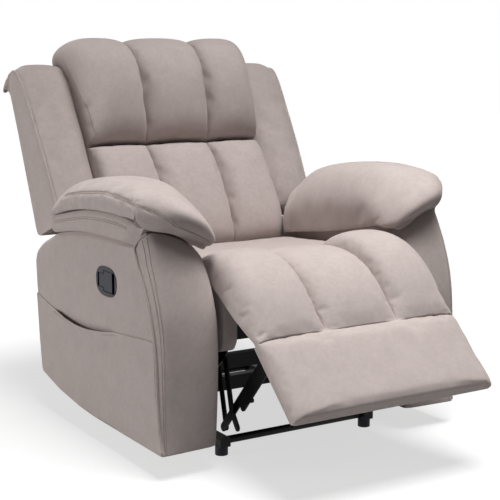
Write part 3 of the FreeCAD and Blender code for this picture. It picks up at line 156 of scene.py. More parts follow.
def new_material(name, **looks):
    """A material with an empty tree, its shader with these inputs, and its output."""
    material = bpy.data.materials.new(name)
    material.use_nodes = True
    tree = material.node_tree
    tree.nodes.clear()
    shader = add(tree, "ShaderNodeBsdfPrincipled", **looks)
    add(tree, "ShaderNodeOutputMaterial", {"Surface": shader.outputs[0]})
    return material, tree, shader


def noise(tree, **settings):
    """The value of a noise texture that is fixed to the object."""
    place = add(tree, "ShaderNodeTexCoord")
    return add(tree, "ShaderNodeTexNoise", {"Vector": place.outputs["Object"]},
               **settings).outputs[0]


def spread_over(tree, value, socket, low, high):
    """Spread a value from 0..1 over low..high and send it to a socket."""
    spread = add(tree, "ShaderNodeMapRange", {"Value": value}, To_Min=low, To_Max=high)
    tree.links.new(spread.outputs[0], socket)


def ramp_over(tree, value, socket, *stops):
    """Send a value through a colour ramp of (position, code) to a socket: the two ends first."""
    ramp = add(tree, "ShaderNodeValToRGB", {"Fac": value})
    elements = ramp.color_ramp.elements
    for number, (position, code) in enumerate(stops):
        if number < 2:
            elements[number].position = position
            elements[number].color = colour(code)
        else:
            elements.new(position).color = colour(code)
    tree.links.new(ramp.outputs[0], socket)


def bump_by(tree, height, shader, strength, distance):
    """Bump a shader's surface by a height, up to this distance in metres."""
    bump = add(tree, "ShaderNodeBump", {"Height": height}, Strength=strength, Distance=distance)
    tree.links.new(bump.outputs[0], shader.inputs["Normal"])


def seen_directly(tree):
    """1 for rays from the camera and off glossy surfaces, 0 for those that only light."""
    path = add(tree, "ShaderNodeLightPath")
    return add(tree, "ShaderNodeMath", {0: path.outputs["Is Camera Ray"],
                                        1: path.outputs["Is Glossy Ray"]},
               operation="MAXIMUM").outputs[0]


print("microfibre base, linear", [round(c, 3) for c in colour("b5a7a2")])

# %% Floor and lamps
sweep_material, tree, shader = new_material(
    "White sweep", Base_Color=colour("a8a8a8"), Roughness=0.9, Specular_IOR_Level=0.0,
    Emission_Color=(1, 1, 1, 1))
place = add(tree, "ShaderNodeTexCoord")
away = add(tree, "ShaderNodeVectorMath", {0: place.outputs["Object"]}, operation="LENGTH")
fade = add(tree, "ShaderNodeMapRange", {"Value": away.outputs["Value"]}, From_Min=0.8,
           From_Max=1.7, To_Min=0.64, To_Max=1.0, interpolation_type="SMOOTHSTEP")
glow = add(tree, "ShaderNodeMath", {0: seen_directly(tree), 1: fade.outputs[0]},
           operation="MULTIPLY")
tree.links.new(glow.outputs[0], shader.inputs["Emission Strength"])
bpy.ops.mesh.primitive_plane_add(size=24)
floor = bpy.context.object
floor.name = "studio_floor"
floor.data.materials.append(sweep_material)

world = bpy.data.worlds.new("Studio")
bpy.context.scene.world = world
world.use_nodes = True
tree = world.node_tree
tree.nodes.clear()
strength = add(tree, "ShaderNodeMapRange", {"Value": seen_directly(tree)},
               To_Min=0.09, To_Max=1.0)
sky = add(tree, "ShaderNodeBackground", {"Strength": strength.outputs[0]}, Color=(1, 1, 1, 1))
add(tree, "ShaderNodeOutputWorld", {"Surface": sky.outputs[0]})

for name, place, aim, size, spread, power in (
        ("overhead", (0.1, -0.85, 3.3), (0.1, -0.6, 0.4), 1.8, 80, 33),
        ("side", (-3.2, 0.75, 0.55), (0, 0, 0.5), 1.3, 180, 48)):
    bpy.ops.object.light_add(type="AREA", location=place)
    lamp = bpy.context.object
    lamp.name = f"{name}_lamp"
    lamp.data.size = size
    lamp.data.energy = power
    lamp.data.spread = math.radians(spread)
    lamp.rotation_euler = (Vector(aim) - lamp.location).to_track_quat("-Z", "Y").to_euler()
print("lamps placed")

# %% [markdown]
# ## The cover cloth
# The cover is brushed polyester microfibre, a suede-like knit.  Its nap is under a millimetre
# long, so what the eye sees is a soft mottle where the nap lies this way or that, some
# centimetres across, a finer cloud inside it, and a pale sheen at grazing angles.  The finest
# grain is drawn at 2 mm, coarser than the real fibre, so that it shows.

# %% Microfibre
def microfibre(name, base, dark, pale):
    """Brushed cloth whose tone wanders from dark to pale with the lie of its nap."""
    material, tree, shader = new_material(
        name, Specular_IOR_Level=0.22, Sheen_Weight=0.32, Sheen_Roughness=0.45,
        Sheen_Tint=colour("f0e7e4"))
    patches = noise(tree, Scale=22.0, Detail=5.0, Roughness=0.66, Distortion=0.4)
    cloud = noise(tree, Scale=95.0, Detail=4.0, Roughness=0.7)
    grain = noise(tree, Scale=520.0, Detail=2.0, Roughness=0.6)
    both = add(tree, "ShaderNodeMix", {"A": patches, "B": cloud}, data_type="FLOAT", Factor=0.5)
    ramp_over(tree, both.outputs[0], shader.inputs["Base Color"],
              (0.36, dark), (0.64, pale), (0.5, base))
    spread_over(tree, cloud, shader.inputs["Roughness"], 0.82, 0.98)
    height = add(tree, "ShaderNodeMath", {0: grain, 1: cloud}, operation="ADD")
    bump_by(tree, height.outputs[0], shader, 0.22, 0.0012)
    return material


cover_cloth = microfibre("Brushed microfibre, greige", "b3a7a3", "ada19d", "b9ada9")
thread_cloth = microfibre("Polyester thread, greige", "a29289", "9c8c84", "ab9b92")
print("cloths", cover_cloth.name, thread_cloth.name)


# %% Painted steel, plastic and the rest
def plain_finish(name, base, rough, metallic=0.0, scale=120.0, bumps=0.1, shine=0.5):
    """A solid colour broken by fine noise in its roughness, its tone and its surface."""
    material, tree, shader = new_material(name, Metallic=metallic, Specular_IOR_Level=shine)
    cloud = noise(tree, Scale=scale, Detail=5.0, Roughness=0.6)
    tone = add(tree, "ShaderNodeMapRange", {"Value": cloud}, To_Min=0.8, To_Max=1.25)
    tint = add(tree, "ShaderNodeVectorMath", {0: tone.outputs[0]}, operation="MULTIPLY")
    tint.inputs[1].default_value = colour(base)[:3]
    tree.links.new(tint.outputs[0], shader.inputs["Base Color"])
    spread_over(tree, cloud, shader.inputs["Roughness"], rough - 0.08, rough + 0.1)
    bump_by(tree, cloud, shader, bumps, 0.0004)
    return material


painted_steel = plain_finish("Powder coated steel, satin black", "060607", 0.5, scale=900.0,
                             bumps=0.25, shine=0.2)
moulded_plastic = plain_finish("Moulded ABS, blue black", "1b1c26", 0.5, scale=1500.0, bumps=0.2,
                               shine=0.25)
bright_steel = plain_finish("Zinc plated steel", "b4b6b8", 0.32, metallic=1.0, scale=300.0)
sleeve_rubber = plain_finish("Cable sleeve, black PVC", "141415", 0.45, scale=700.0)
# black cloth: a dust cover, and also painted shade where the gaps between the cushions look dark
black_lining_and_painted_shade = plain_finish("Black lining and painted shade", "1d1c1d", 0.9, scale=1400.0, bumps=0.5)
print("finishes made")


# %% Pine boards and woven webbing
def pine_boards():
    """Sawn pine with its rings drawn out along X."""
    material, tree, shader = new_material("Pine board, sawn", Roughness=0.7)
    place = add(tree, "ShaderNodeTexCoord")
    stretch = add(tree, "ShaderNodeMapping", {"Vector": place.outputs["Object"]},
                  Scale=(7.0, 60.0, 60.0))
    rings = add(tree, "ShaderNodeTexNoise", {"Vector": stretch.outputs[0]},
                Scale=1.6, Detail=6.0, Roughness=0.55, Distortion=0.9)
    ramp_over(tree, rings.outputs[0], shader.inputs["Base Color"],
              (0.4, "a97f4e"), (0.62, "d9b987"))
    bump_by(tree, rings.outputs[0], shader, 0.3, 0.0005)
    return material


def woven_webbing():
    """Elastic webbing with ribs 6 mm apart."""
    material, tree, shader = new_material("Elastic webbing, black", Roughness=0.85)
    place = add(tree, "ShaderNodeTexCoord")
    ribs = add(tree, "ShaderNodeTexWave", {"Vector": place.outputs["Object"]},
               wave_type="BANDS", bands_direction="Z", Scale=50.0, Distortion=0.6)
    ramp_over(tree, ribs.outputs[0], shader.inputs["Base Color"], (0, "1a1a1b"), (1, "343335"))
    bump_by(tree, ribs.outputs[0], shader, 0.5, 0.001)
    return material


finishes = {"black_steel": painted_steel, "bright_steel": bright_steel,
            "black_plastic": moulded_plastic, "frame_wood": pine_boards(),
            "cable_sleeve": sleeve_rubber, "elastic_web": woven_webbing(),
            "upholstery": cover_cloth}
slots = {part["node"]: part["material_slot"] for part in frame["record"]["subparts"]}
# boards that would show bare between the cushions are wrapped; the black cloth stands for a dust
# cover and is also painted shade for the dark gaps between the cushions
covered = {"leg_board": cover_cloth}
covered.update({board: black_lining_and_painted_shade for board in (
    "front_deck", "seat_front_rail", "seat_rear_rail", "seat_side_rail_left",
    "seat_side_rail_right", "back_frame")})
for name, solid in frame["nodes"].items():
    solid.data.materials.clear()
    solid.data.materials.append(covered.get(name, finishes[slots[name]]))
print("finishes on", len(frame["nodes"]), "nodes")

# %% [markdown]
# ## Rounded steel edges
# Real plates are tumbled before they are painted, so no edge is knife sharp.  The solids arrive
# as loose triangles: a Weld joins them, and a Bevel rounds each edge where the surface turns by
# more than 40 degrees.

# %% Weld and bevel
for name, solid in frame["nodes"].items():
    if slots[name] in ("black_steel", "black_plastic", "frame_wood"):
        weld = solid.modifiers.new("weld", "WELD")
        weld.merge_threshold = 0.00002
        bevel = solid.modifiers.new("bevel", "BEVEL")
        bevel.width = 0.0022 if slots[name] == "frame_wood" else 0.0007
        bevel.segments = 2
        bevel.limit_method = "ANGLE"
        bevel.angle_limit = math.radians(40)
        bevel.use_clamp_overlap = True
print("bevels on the hard parts")

# %% [markdown]
# ## How a padded piece is made
# Each cushion starts as a cube whose faces are cut into a grid.  Its points are moved onto the
# cushion's drawing: profiles across and along it, with the seams where the real ones are sewn.
# Then the cover is blown up a little as cloth, held at its seams, so that it swells and puckers
# as a filled cover does.  A subdivision smooths it.

# %% Grid blocks
def pick_only(*objects):
    """Select these objects and nothing else."""
    if bpy.context.object and bpy.context.object.mode != "OBJECT":
        bpy.ops.object.mode_set(mode="OBJECT")
    bpy.ops.object.select_all(action="DESELECT")
    for one in objects:
        one.select_set(True)
    if objects:
        bpy.context.view_layer.objects.active = objects[0]


def grid_block(name, cuts):
    """A 2 m cube at the origin, its edges along X, Y and Z cut into that many parts."""
    pick_only()
    bpy.ops.mesh.primitive_cube_add(size=2)
    block = bpy.context.object
    block.name = name
    bpy.context.tool_settings.mesh_select_mode = (False, True, False)
    for axis, parts in enumerate(cuts):
        bpy.ops.object.mode_set(mode="EDIT")
        bpy.ops.mesh.select_all(action="DESELECT")
        bpy.ops.object.mode_set(mode="OBJECT")
        corners = block.data.vertices
        for edge in block.data.edges:
            first, second = (corners[i].co for i in edge.vertices)
            edge.select = abs(first[axis] - second[axis]) > 1.9
        bpy.ops.object.mode_set(mode="EDIT")
        bpy.ops.mesh.subdivide(number_cuts=parts - 1)
        bpy.ops.object.mode_set(mode="OBJECT")
    return block


def read_points(piece, what):
    """One row of three numbers for each vertex: its place ("co") or its "normal"."""
    flat = np.empty(len(piece.data.vertices) * 3)
    piece.data.vertices.foreach_get(what, flat)
    return flat.reshape(-1, 3)


def points_of(piece):
    return read_points(piece, "co")


def move_points(piece, places):
    piece.data.vertices.foreach_set("co", np.asarray(places, float).ravel())
    piece.data.update()


def face_out(piece):
    """Recalculate the normals, so that every face points outwards."""
    pick_only(piece)
    bpy.ops.object.mode_set(mode="EDIT")
    bpy.ops.mesh.select_all(action="SELECT")
    bpy.ops.mesh.normals_make_consistent(inside=False)
    bpy.ops.object.mode_set(mode="OBJECT")


def shape(piece, places):
    """Move a block's points onto its drawing and turn its faces out."""
    move_points(piece, places)
    face_out(piece)


def relax(piece, chosen, times):
    """Smooth the chosen points of a piece, as a hand does with the Smooth tool."""
    pick_only(piece)
    bpy.context.tool_settings.mesh_select_mode = (True, False, False)
    bpy.ops.object.mode_set(mode="EDIT")
    bpy.ops.mesh.select_all(action="DESELECT")
    bpy.ops.object.mode_set(mode="OBJECT")
    for vertex, wanted in zip(piece.data.vertices, chosen):
        vertex.select = bool(wanted)
    bpy.ops.object.mode_set(mode="EDIT")
    bpy.ops.mesh.vertices_smooth(factor=0.5, repeat=times)
    bpy.ops.object.mode_set(mode="OBJECT")


def curve_at(points, share):
    """Places along a smooth curve through drawn points: share runs from 0 to 1."""
    points = np.asarray(points, float)
    spot = np.clip(np.asarray(share, float), 0, 1) * (len(points) - 1)
    index = np.minimum(spot.astype(int), len(points) - 2)
    t = (spot - index)[..., None]
    before = points[np.maximum(index - 1, 0)]
    first, second = points[index], points[index + 1]
    after = points[np.minimum(index + 2, len(points) - 1)]
    return 0.5 * (2 * first + (second - before) * t
                  + (2 * before - 5 * first + 4 * second - after) * t ** 2
                  + (3 * first - before - 3 * second + after) * t ** 3)


def rise(value, low, high):
    """0 below low, 1 above high, smooth between."""
    t = np.clip((np.asarray(value, float) - low) / (high - low), 0, 1)
    return t * t * (3 - 2 * t)


test = grid_block("test_block", (6, 4, 2))
print("grid block corners", len(test.data.vertices))
bpy.data.objects.remove(test)


# %% Blowing up a cover
GROWTH, FRAMES = 0.012, 20


def puff(piece, held, cap):
    """Swell a closed cover as cloth: held points stay, no other moves further than cap."""
    before = points_of(piece)
    group = piece.vertex_groups.new(name="sewn")
    group.add([int(i) for i in np.flatnonzero(held)], 1.0, "REPLACE")
    cloth = piece.modifiers.new("cloth", "CLOTH")
    cloth.settings.quality = 5
    cloth.settings.mass = 0.3
    cloth.settings.bending_stiffness = 5
    cloth.settings.use_pressure = True
    cloth.settings.uniform_pressure_force = 4.0
    cloth.settings.vertex_group_mass = "sewn"
    cloth.settings.shrink_min = cloth.settings.shrink_max = -GROWTH
    cloth.settings.effector_weights.gravity = 0
    cloth.collision_settings.use_collision = False
    cloth.point_cache.frame_start, cloth.point_cache.frame_end = 1, FRAMES
    for number in range(1, FRAMES + 1):
        bpy.context.scene.frame_set(number)
    pick_only(piece)
    bpy.ops.object.modifier_apply(modifier="cloth")
    bpy.context.scene.frame_set(1)
    moved = points_of(piece) - before
    length = np.linalg.norm(moved, axis=1, keepdims=True)
    move_points(piece, before + moved * np.minimum(1, cap / np.maximum(length, 1e-9)))
    piece.vertex_groups.clear()
    moved = np.linalg.norm(points_of(piece) - before, axis=1)
    print(piece.name, "swelled by up to", round(float(moved.max()) * 1000, 1), "mm")


def smooth_over(piece):
    """Subdivide a finished cover once and shade it smooth."""
    pick_only(piece)
    subdivision = piece.modifiers.new("subdivision", "SUBSURF")
    subdivision.levels = subdivision.render_levels = 1
    bpy.ops.object.modifier_apply(modifier="subdivision")
    bpy.ops.object.shade_smooth()


def dress(piece, body, *nodes, fill=0.7):
    """Finish a padded piece: its cloth, what it rides on and which solids it stands for."""
    piece.data.materials.clear()
    piece.data.materials.append(cover_cloth)
    if body:
        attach(piece, body)
    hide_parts(*nodes)
    print(piece.name, "faces", len(piece.data.polygons))


def finish_cover(piece, body, *nodes, held=None, cap=0, fill=0.7):
    """Swell a cover if it is held at seams, then smooth and dress it."""
    if held is not None:
        puff(piece, held, cap)
    smooth_over(piece)
    dress(piece, body, *nodes, fill=fill)


# %% [markdown]
# ## Creases, threads and piping
# A seam pulls the cover in along its line.  The top-stitching beside it is a row of short thick
# threads, 6 mm apart here so that they show, laid on the finished cover.  Piping is a cord in a
# strip of the same cloth.

# %% Seam tools
def even_path(points, step):
    """The same path with points a step apart, in metres."""
    points = np.asarray(points, float)
    lengths = np.r_[0, np.cumsum(np.linalg.norm(np.diff(points, axis=0), axis=1))]
    number = max(2, int(round(lengths[-1] / step)) + 1)
    spots = np.linspace(0, lengths[-1], number)
    return np.stack([np.interp(spots, lengths, points[:, k]) for k in range(3)], axis=1)


def pull_in(piece, path, depth, width, beat=0.0):
    """Draw a cover in along a path: by depth at the path, and in puckers a beat apart."""
    places, line = points_of(piece), even_path(path, 0.003)
    near, spot = np.full(len(places), 9.0), np.zeros(len(places))
    low, high = line.min(0) - 3 * width, line.max(0) + 3 * width
    inside = np.flatnonzero(((places > low) & (places < high)).all(1))
    for part in np.array_split(inside, max(1, len(inside) // 2000)):
        away = np.linalg.norm(places[part, None] - line[None], axis=2)
        near[part], spot[part] = away.min(1), away.argmin(1) * 0.003
    fall = depth * np.exp(-(near / width) ** 2)
    if beat:
        uneven = spot + 0.3 * beat * np.sin(spot * 61)
        fall = fall * (0.5 + 0.5 * np.sin(uneven * 2 * math.pi / beat)) * (spot > 0)
    move_points(piece, places - read_points(piece, "normal") * fall[:, None])


def surface_of(piece):
    """A tree of the piece's faces, to lay threads on."""
    return BVHTree.FromPolygons([v.co.copy() for v in piece.data.vertices],
                                [list(face.vertices) for face in piece.data.polygons])


def laid_on(tree, path, lift=0.0):
    """Each point of a path moved to the nearest face, with that face's normal."""
    places, ups = [], []
    for point in path:
        place, normal, _, _ = tree.find_nearest(Vector(point))
        places.append(np.array(place + normal * lift))
        ups.append(np.array(normal))
    return np.array(places), np.array(ups)


def tube(places, radius, sides):
    """Corners and faces of a closed tube along points."""
    places = np.asarray(places)
    ahead = np.gradient(places, axis=0)
    ahead /= np.linalg.norm(ahead, axis=1, keepdims=True)
    side = np.cross(ahead, (0.31, 0.53, 0.79))
    side /= np.linalg.norm(side, axis=1, keepdims=True)
    up = np.cross(side, ahead)
    turn = np.linspace(0, 2 * math.pi, sides, endpoint=False)
    radius = np.broadcast_to(radius, len(places))[:, None, None]
    rings = (places[:, None] + radius * (np.cos(turn)[None, :, None] * side[:, None]
                                         + np.sin(turn)[None, :, None] * up[:, None]))
    faces = [[r * sides + s, r * sides + (s + 1) % sides, (r + 1) * sides + (s + 1) % sides,
              (r + 1) * sides + s] for r in range(len(places) - 1) for s in range(sides)]
    last = (len(places) - 1) * sides
    faces += [list(range(sides))[::-1], [last + s for s in range(sides)]]
    return rings.reshape(-1, 3), faces


def sewn_on(name, parts, cloth, body):
    """One object from several lists of corners and faces, riding on a body."""
    corners, faces, start = [], [], 0
    for some_corners, some_faces in parts:
        corners.append(some_corners)
        faces += [[start + i for i in face] for face in some_faces]
        start += len(some_corners)
    mesh = bpy.data.meshes.new(name)
    mesh.from_pydata(np.concatenate(corners).tolist(), [], faces)
    piece = bpy.data.objects.new(name, mesh)
    bpy.context.scene.collection.objects.link(piece)
    face_out(piece)
    bpy.ops.object.shade_smooth()
    mesh.materials.append(cloth)
    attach(piece, body)
    print(name, "tubes", len(parts))


THREAD_PITCH, THREAD_RADIUS, PIPING_RADIUS = 0.0064, 0.0008, 0.0035


def stitched(name, tree, paths, body):
    """Rows of threads along paths, each thread dipping into the cloth at its ends."""
    parts = []
    for path in paths:
        places, ups = laid_on(tree, even_path(path, THREAD_PITCH))
        for first, second, up in zip(places[:-1], places[1:], ups[:-1]):
            run = second - first
            line = np.array([first + run * 0.1 - up * 0.0004, first + run * 0.3 + up * 0.0006,
                             first + run * 0.7 + up * 0.0006, first + run * 0.9 - up * 0.0004])
            parts.append(tube(line, THREAD_RADIUS, 5))
    sewn_on(name, parts, thread_cloth, body)


def piped(name, tree, path, body):
    """Piping along a path on a cover, its ends drawn in."""
    places, _ = laid_on(tree, even_path(path, 0.006), lift=0.001)
    for _ in range(4):
        places[1:-1] = (places[:-2] + 2 * places[1:-1] + places[2:]) / 4
    sizes = np.full(len(places), PIPING_RADIUS)
    sizes[0] = sizes[-1] = PIPING_RADIUS * 0.5
    sewn_on(name, [tube(places, sizes, 10)], cover_cloth, body)


print("seam tools ready")

# %% [markdown]
# ## The back cushions
# The back has three columns, in two rows sewn together at a deep seam.  Each column is a lobe:
# flat in the middle, round at its sides, so that two lobes meet in a fold.  The drawing has four
# profiles up the back: over a lobe's crown, along the folds, along the cushion's outer side, and
# down the inner face that rests on the frame.

# %% Lobes
COLUMN_EDGE, CUSHION_EDGE = 105.0, 288.0


def lobes(across, power=2.5):
    """From -1..1 over three columns: x in mm, how far out of the fold, and 1 at outer sides."""
    column = np.clip(np.floor((across + 1) * 1.5), 0, 2) - 1
    turn = ((across + 1) * 1.5 - (column + 1) - 0.5) * math.pi
    wide = np.where(column == 0, COLUMN_EDGE, (CUSHION_EDGE - COLUMN_EDGE) / 2)
    centre = column * (CUSHION_EDGE + COLUMN_EDGE) / 2
    x = centre + wide * np.sign(turn) * np.abs(np.sin(turn)) ** (2 / power)
    crown = np.clip(np.cos(turn), 0, 1) ** (2 / power)
    outer = (column * turn > 0).astype(float)
    return x, crown, outer


def quilted(name, parts, crown, fold, side, inner, place, spread=(1, 1), rim=None,
            lift=(0, 0, 0)):
    """A three-column cushion from its profiles; returns it and which points are sewn."""
    piece = grid_block(name, parts)
    a, b, c = points_of(piece).T
    x, out, outer = lobes(a)
    share = (b + 1) / 2
    x = x * np.interp(share, np.linspace(0, 1, len(spread)), spread)
    top, valley = curve_at(crown, share), curve_at(fold, share)
    edge, back = curve_at(side, share), curve_at(inner, share)
    column = np.clip(np.floor((a + 1) * 1.5), 0, 2).astype(int)
    top[:, 1] += np.array(lift, float)[column] * np.sin(np.clip(share * 1.25, 0, 1) * math.pi)
    rest = valley * (1 - outer)[:, None] + edge * outer[:, None]
    if rim is not None:
        back = back + (rest + rim - back) * (1 - out)[:, None]
    front = rest + (top - rest) * out[:, None]
    depth = ((c + 1) / 2)[:, None]
    flat = back + (front - back) * depth
    shape(piece, place(x, flat[:, 1], flat[:, 0]))
    sewn = (c < 0.95) | (out < 0.05) | (np.abs(b) > 0.985)
    return piece, sewn


print("lobes at", [round(float(v)) for v in lobes(np.array([-1, -1 / 3, 0, 1 / 3, 1]))[0]])

# %% Head cushion
# forward of the hinge and up from it, in mm, from the row seam over the top to the rear ledge
head_crown = [(44, 487), (90, 499), (123, 538), (142, 596), (150, 655), (146, 710), (128, 760),
              (97, 801), (54, 827), (8, 836), (-32, 827), (-56, 797), (-60, 756)]
head_fold = [(42, 487), (60, 496), (80, 536), (94, 594), (106, 650), (111, 702), (101, 746),
             (77, 780), (40, 804), (4, 811), (-31, 801), (-52, 780), (-57, 756)]
head_side = [(42, 487), (56, 506), (56, 556), (40, 606), (18, 658), (0, 706), (-13, 748),
             (-24, 776), (-34, 791), (-43, 795), (-50, 789), (-56, 772), (-58, 750)]
head_inner = [(-7.5, up) for up in (487, 520, 560, 600, 640, 680, 715, 742)]
head_inner += [(forward, 742) for forward in (-20, -32, -44, -52, -57)]
head_spread = [0.99, 0.995, 1, 1.005, 1.015, 1.03, 1.05, 1.065, 1.07, 1.07, 1.06, 1.04, 1.01]
head, sewn = quilted("head_cushion_cover", (66, 52, 5), head_crown, head_fold, head_side,
                     head_inner, on_back, spread=head_spread)
finish_cover(head, "back", "head_cushion", held=sewn, cap=0.008)

# %% Lumbar cushion
lumbar_crown = [(20, 148), (94, 150), (124, 172), (137, 222), (137, 285), (130, 345), (120, 398),
                (102, 446), (76, 476), (44, 485)]
lumbar_fold = [(18, 148), (72, 152), (92, 178), (97, 228), (96, 286), (91, 345), (79, 398),
               (62, 446), (50, 476), (42, 485)]
lumbar_side = [(16, 148), (56, 152), (78, 178), (86, 228), (82, 286), (70, 345), (59, 398),
               (52, 446), (47, 476), (42, 485)]
lumbar_inner = [(-7.5, up) for up in np.linspace(148, 485, 10)]
lumbar, sewn = quilted("lumbar_cushion_cover", (66, 40, 5), lumbar_crown, lumbar_fold,
                       lumbar_side, lumbar_inner, on_back)
finish_cover(lumbar, "back", "lumbar_cushion", held=sewn, cap=0.008)

# %% [markdown]
# ## The wings
# A wing is a padded board beside the cushions.  Its front is crowned, piping runs down its outer
# front edge, and a narrow strip closes its side.  At the top the front panel rolls over and hangs
# down at the outer rear corner as a small roll.

# %% Wings
# forward and up, in mm, from the wing's bottom over its top to its rear face
wing_crown = [(70, 256), (84, 290), (84, 360), (76, 440), (66, 520), (54, 600), (40, 670),
              (22, 724), (2, 758), (-26, 776), (-54, 770), (-72, 740)]
wing_piping = [(64, 258), (66, 290), (62, 360), (56, 440), (47, 520), (36, 600), (26, 670),
               (12, 722), (-6, 752), (-30, 768), (-54, 762), (-70, 734)]
wing_hidden = [(36, 258), (40, 290), (44, 360), (34, 440), (28, 520), (16, 600), (8, 670),
               (4, 718), (-2, 746), (-16, 758), (-44, 755), (-70, 734)]
wing_rear = [(-40, 254), (-66, 270)]
wing_rear += [(-68, up) for up in (330, 400, 460, 520, 570, 620, 660, 692)]
wing_rear += [(-70, 712), (-72, 728)]
WING_IN, WING_WIDE = 288.5, 161


def wing_taper(share):
    """How far the wing's outer edge comes in towards its bottom, in mm."""
    return 24 * np.clip(1 - share / 0.75, 0, 1)


def wing_roll(share):
    """0 below the roll at the wing's upper corner and 1 on it."""
    return rise(share, 0.80, 0.88)


def wing(side):
    piece = grid_block("wing_cover_" + side, (22, 60, 10))
    a, b, c = points_of(piece).T
    across, share = (a + 1) / 2, (b + 1) / 2
    dome = np.sin(np.clip(across, 0, 1) * math.pi) ** 0.62
    rest = (curve_at(wing_hidden, share) * (1 - across)[:, None]
            + curve_at(wing_piping, share) * across[:, None])
    front = rest + (curve_at(wing_crown, share) - rest) * dome[:, None]
    rear = curve_at(wing_rear, share)
    depth = ((c + 1) / 2)[:, None]
    flat = rear + (front - rear) * depth
    x = WING_IN + WING_WIDE * across
    tail = (1 - rise(share, 0, 0.16)) * (1 - rise(across, 0, 0.1))
    x = x - 6 * tail
    flat[:, 1] -= 34 * tail
    side_bulge = 5 * rise(across, 0.9, 1) * np.sin(np.clip(depth[:, 0], 0, 1) * math.pi)
    x = x - wing_taper(share) * depth[:, 0] * across ** 3
    roll = wing_roll(share) * rise(across, 0.66, 1) * rise(depth[:, 0], 0.0, 0.6)
    x = x + side_bulge + 15 * roll
    flat[:, 1] -= 9 * roll * rise(-flat[:, 0], -10, 50)
    flat[:, 1] -= 20 * rise(share, 0.6, 0.92) * rise(across, 0.66, 1) ** 2 * depth[:, 0]
    shape(piece, to_side(on_back(x, flat[:, 1], flat[:, 0]), side))
    sewn = (c < 0.95) | (a > 0.99) | (a < -0.95) | (b < -0.98)
    finish_cover(piece, "back", "back_wing_" + side, held=sewn, cap=0.0015)
    return piece


wings = {side: wing(side) for side in SIDES}

# %% [markdown]
# ## The arms' covers
# Each arm is a padded box, open at the bottom.  Seen from the side its front leans forward
# towards the foot, and its top slopes down to the rear behind the band.  A block's corners are
# carried onto that outline, with its edges rolled as cloth over foam is.

# %% Arm outline
ARM_IN, ARM_OUT, ROLL = 300.0, 458.0, 13.0
ARM_WIDE = ARM_OUT - ARM_IN
ARM_FOOT = 62
# the front panel from foot to head: depth and height, at shares across from outside to inside
panel_shares = np.array([0, 0.1, 0.25, 0.5, 0.75, 0.94, 1])
panel_lines = np.array([
    [(-18, 62), (-2, 118), (6, 210), (11, 300), (25, 390), (50, 465), (78, 515), (96, 552),
     (106, 570)],
    [(-18, 62), (-14, 118), (-12, 210), (-12, 300), (-4, 390), (20, 465), (40, 520), (54, 566),
     (70, 600)],
    [(-17, 62), (-18, 118), (-19, 210), (-20, 300), (-12, 390), (6, 465), (26, 522), (42, 570),
     (62, 602)],
    [(-15, 62), (-20, 118), (-25, 210), (-27, 300), (-20, 390), (-2, 465), (20, 520), (36, 560),
     (58, 590)],
    [(-13, 62), (-20, 118), (-27, 210), (-29, 300), (-22, 390), (-4, 460), (18, 510), (38, 548),
     (62, 572)],
    [(-11, 62), (-17, 118), (-24, 210), (-26, 300), (-19, 390), (0, 455), (22, 498), (46, 532),
     (74, 554)],
    [(-8, 62), (-14, 118), (-20, 210), (-22, 300), (-14, 390), (6, 450), (30, 492), (54, 524),
     (82, 546)]], float)
arm_rear = [(735, 110), (743, 160), (750, 210), (757, 280), (763, 342), (767, 385), (770, 437)]
arm_top = [(128, 566), (190, 566.5), (310, 565), (438, 557), (520, 547), (598, 533.5),
           (649, 516), (707, 493), (744, 471), (759, 458), (770, 437)]


def by_length(points, share):
    """Places along drawn points at shares of their length."""
    dense = curve_at(points, np.linspace(0, 1, 200))
    lengths = np.r_[0, np.cumsum(np.linalg.norm(np.diff(dense, axis=0), axis=1))]
    return np.stack([np.interp(share * lengths[-1], lengths, dense[:, k]) for k in (0, 1)],
                    axis=1)


def panel_front(share, tall):
    """Depth and height on the front panel, at a share across and a share of its height."""
    lines = np.stack([curve_at(line, tall) for line in panel_lines])
    spot = np.interp(share, panel_shares, np.arange(len(panel_shares)))
    low = np.minimum(spot.astype(int), len(panel_shares) - 2)
    part = (spot - low)[:, None]
    item = np.arange(len(share))
    return lines[low, item] * (1 - part) + lines[low + 1, item] * part


def flare(y, z):
    """The arm widens towards its front and its top."""
    return 9 * rise(z, 300, 520) * (1 - rise(y, 100, 215))


def foot_rise(y):
    """The arm's underside is level in front and rises to its rear end."""
    return np.interp(y, [0, 380, 480, 600, 735], [0, 0, 5, 19.5, 48])


even = np.linspace(0, 1, 24)
arm_rear, arm_top = by_length(arm_rear, even), by_length(arm_top, even)
print("arm front reaches", round(float(panel_lines[:, :, 0].min())), "mm")

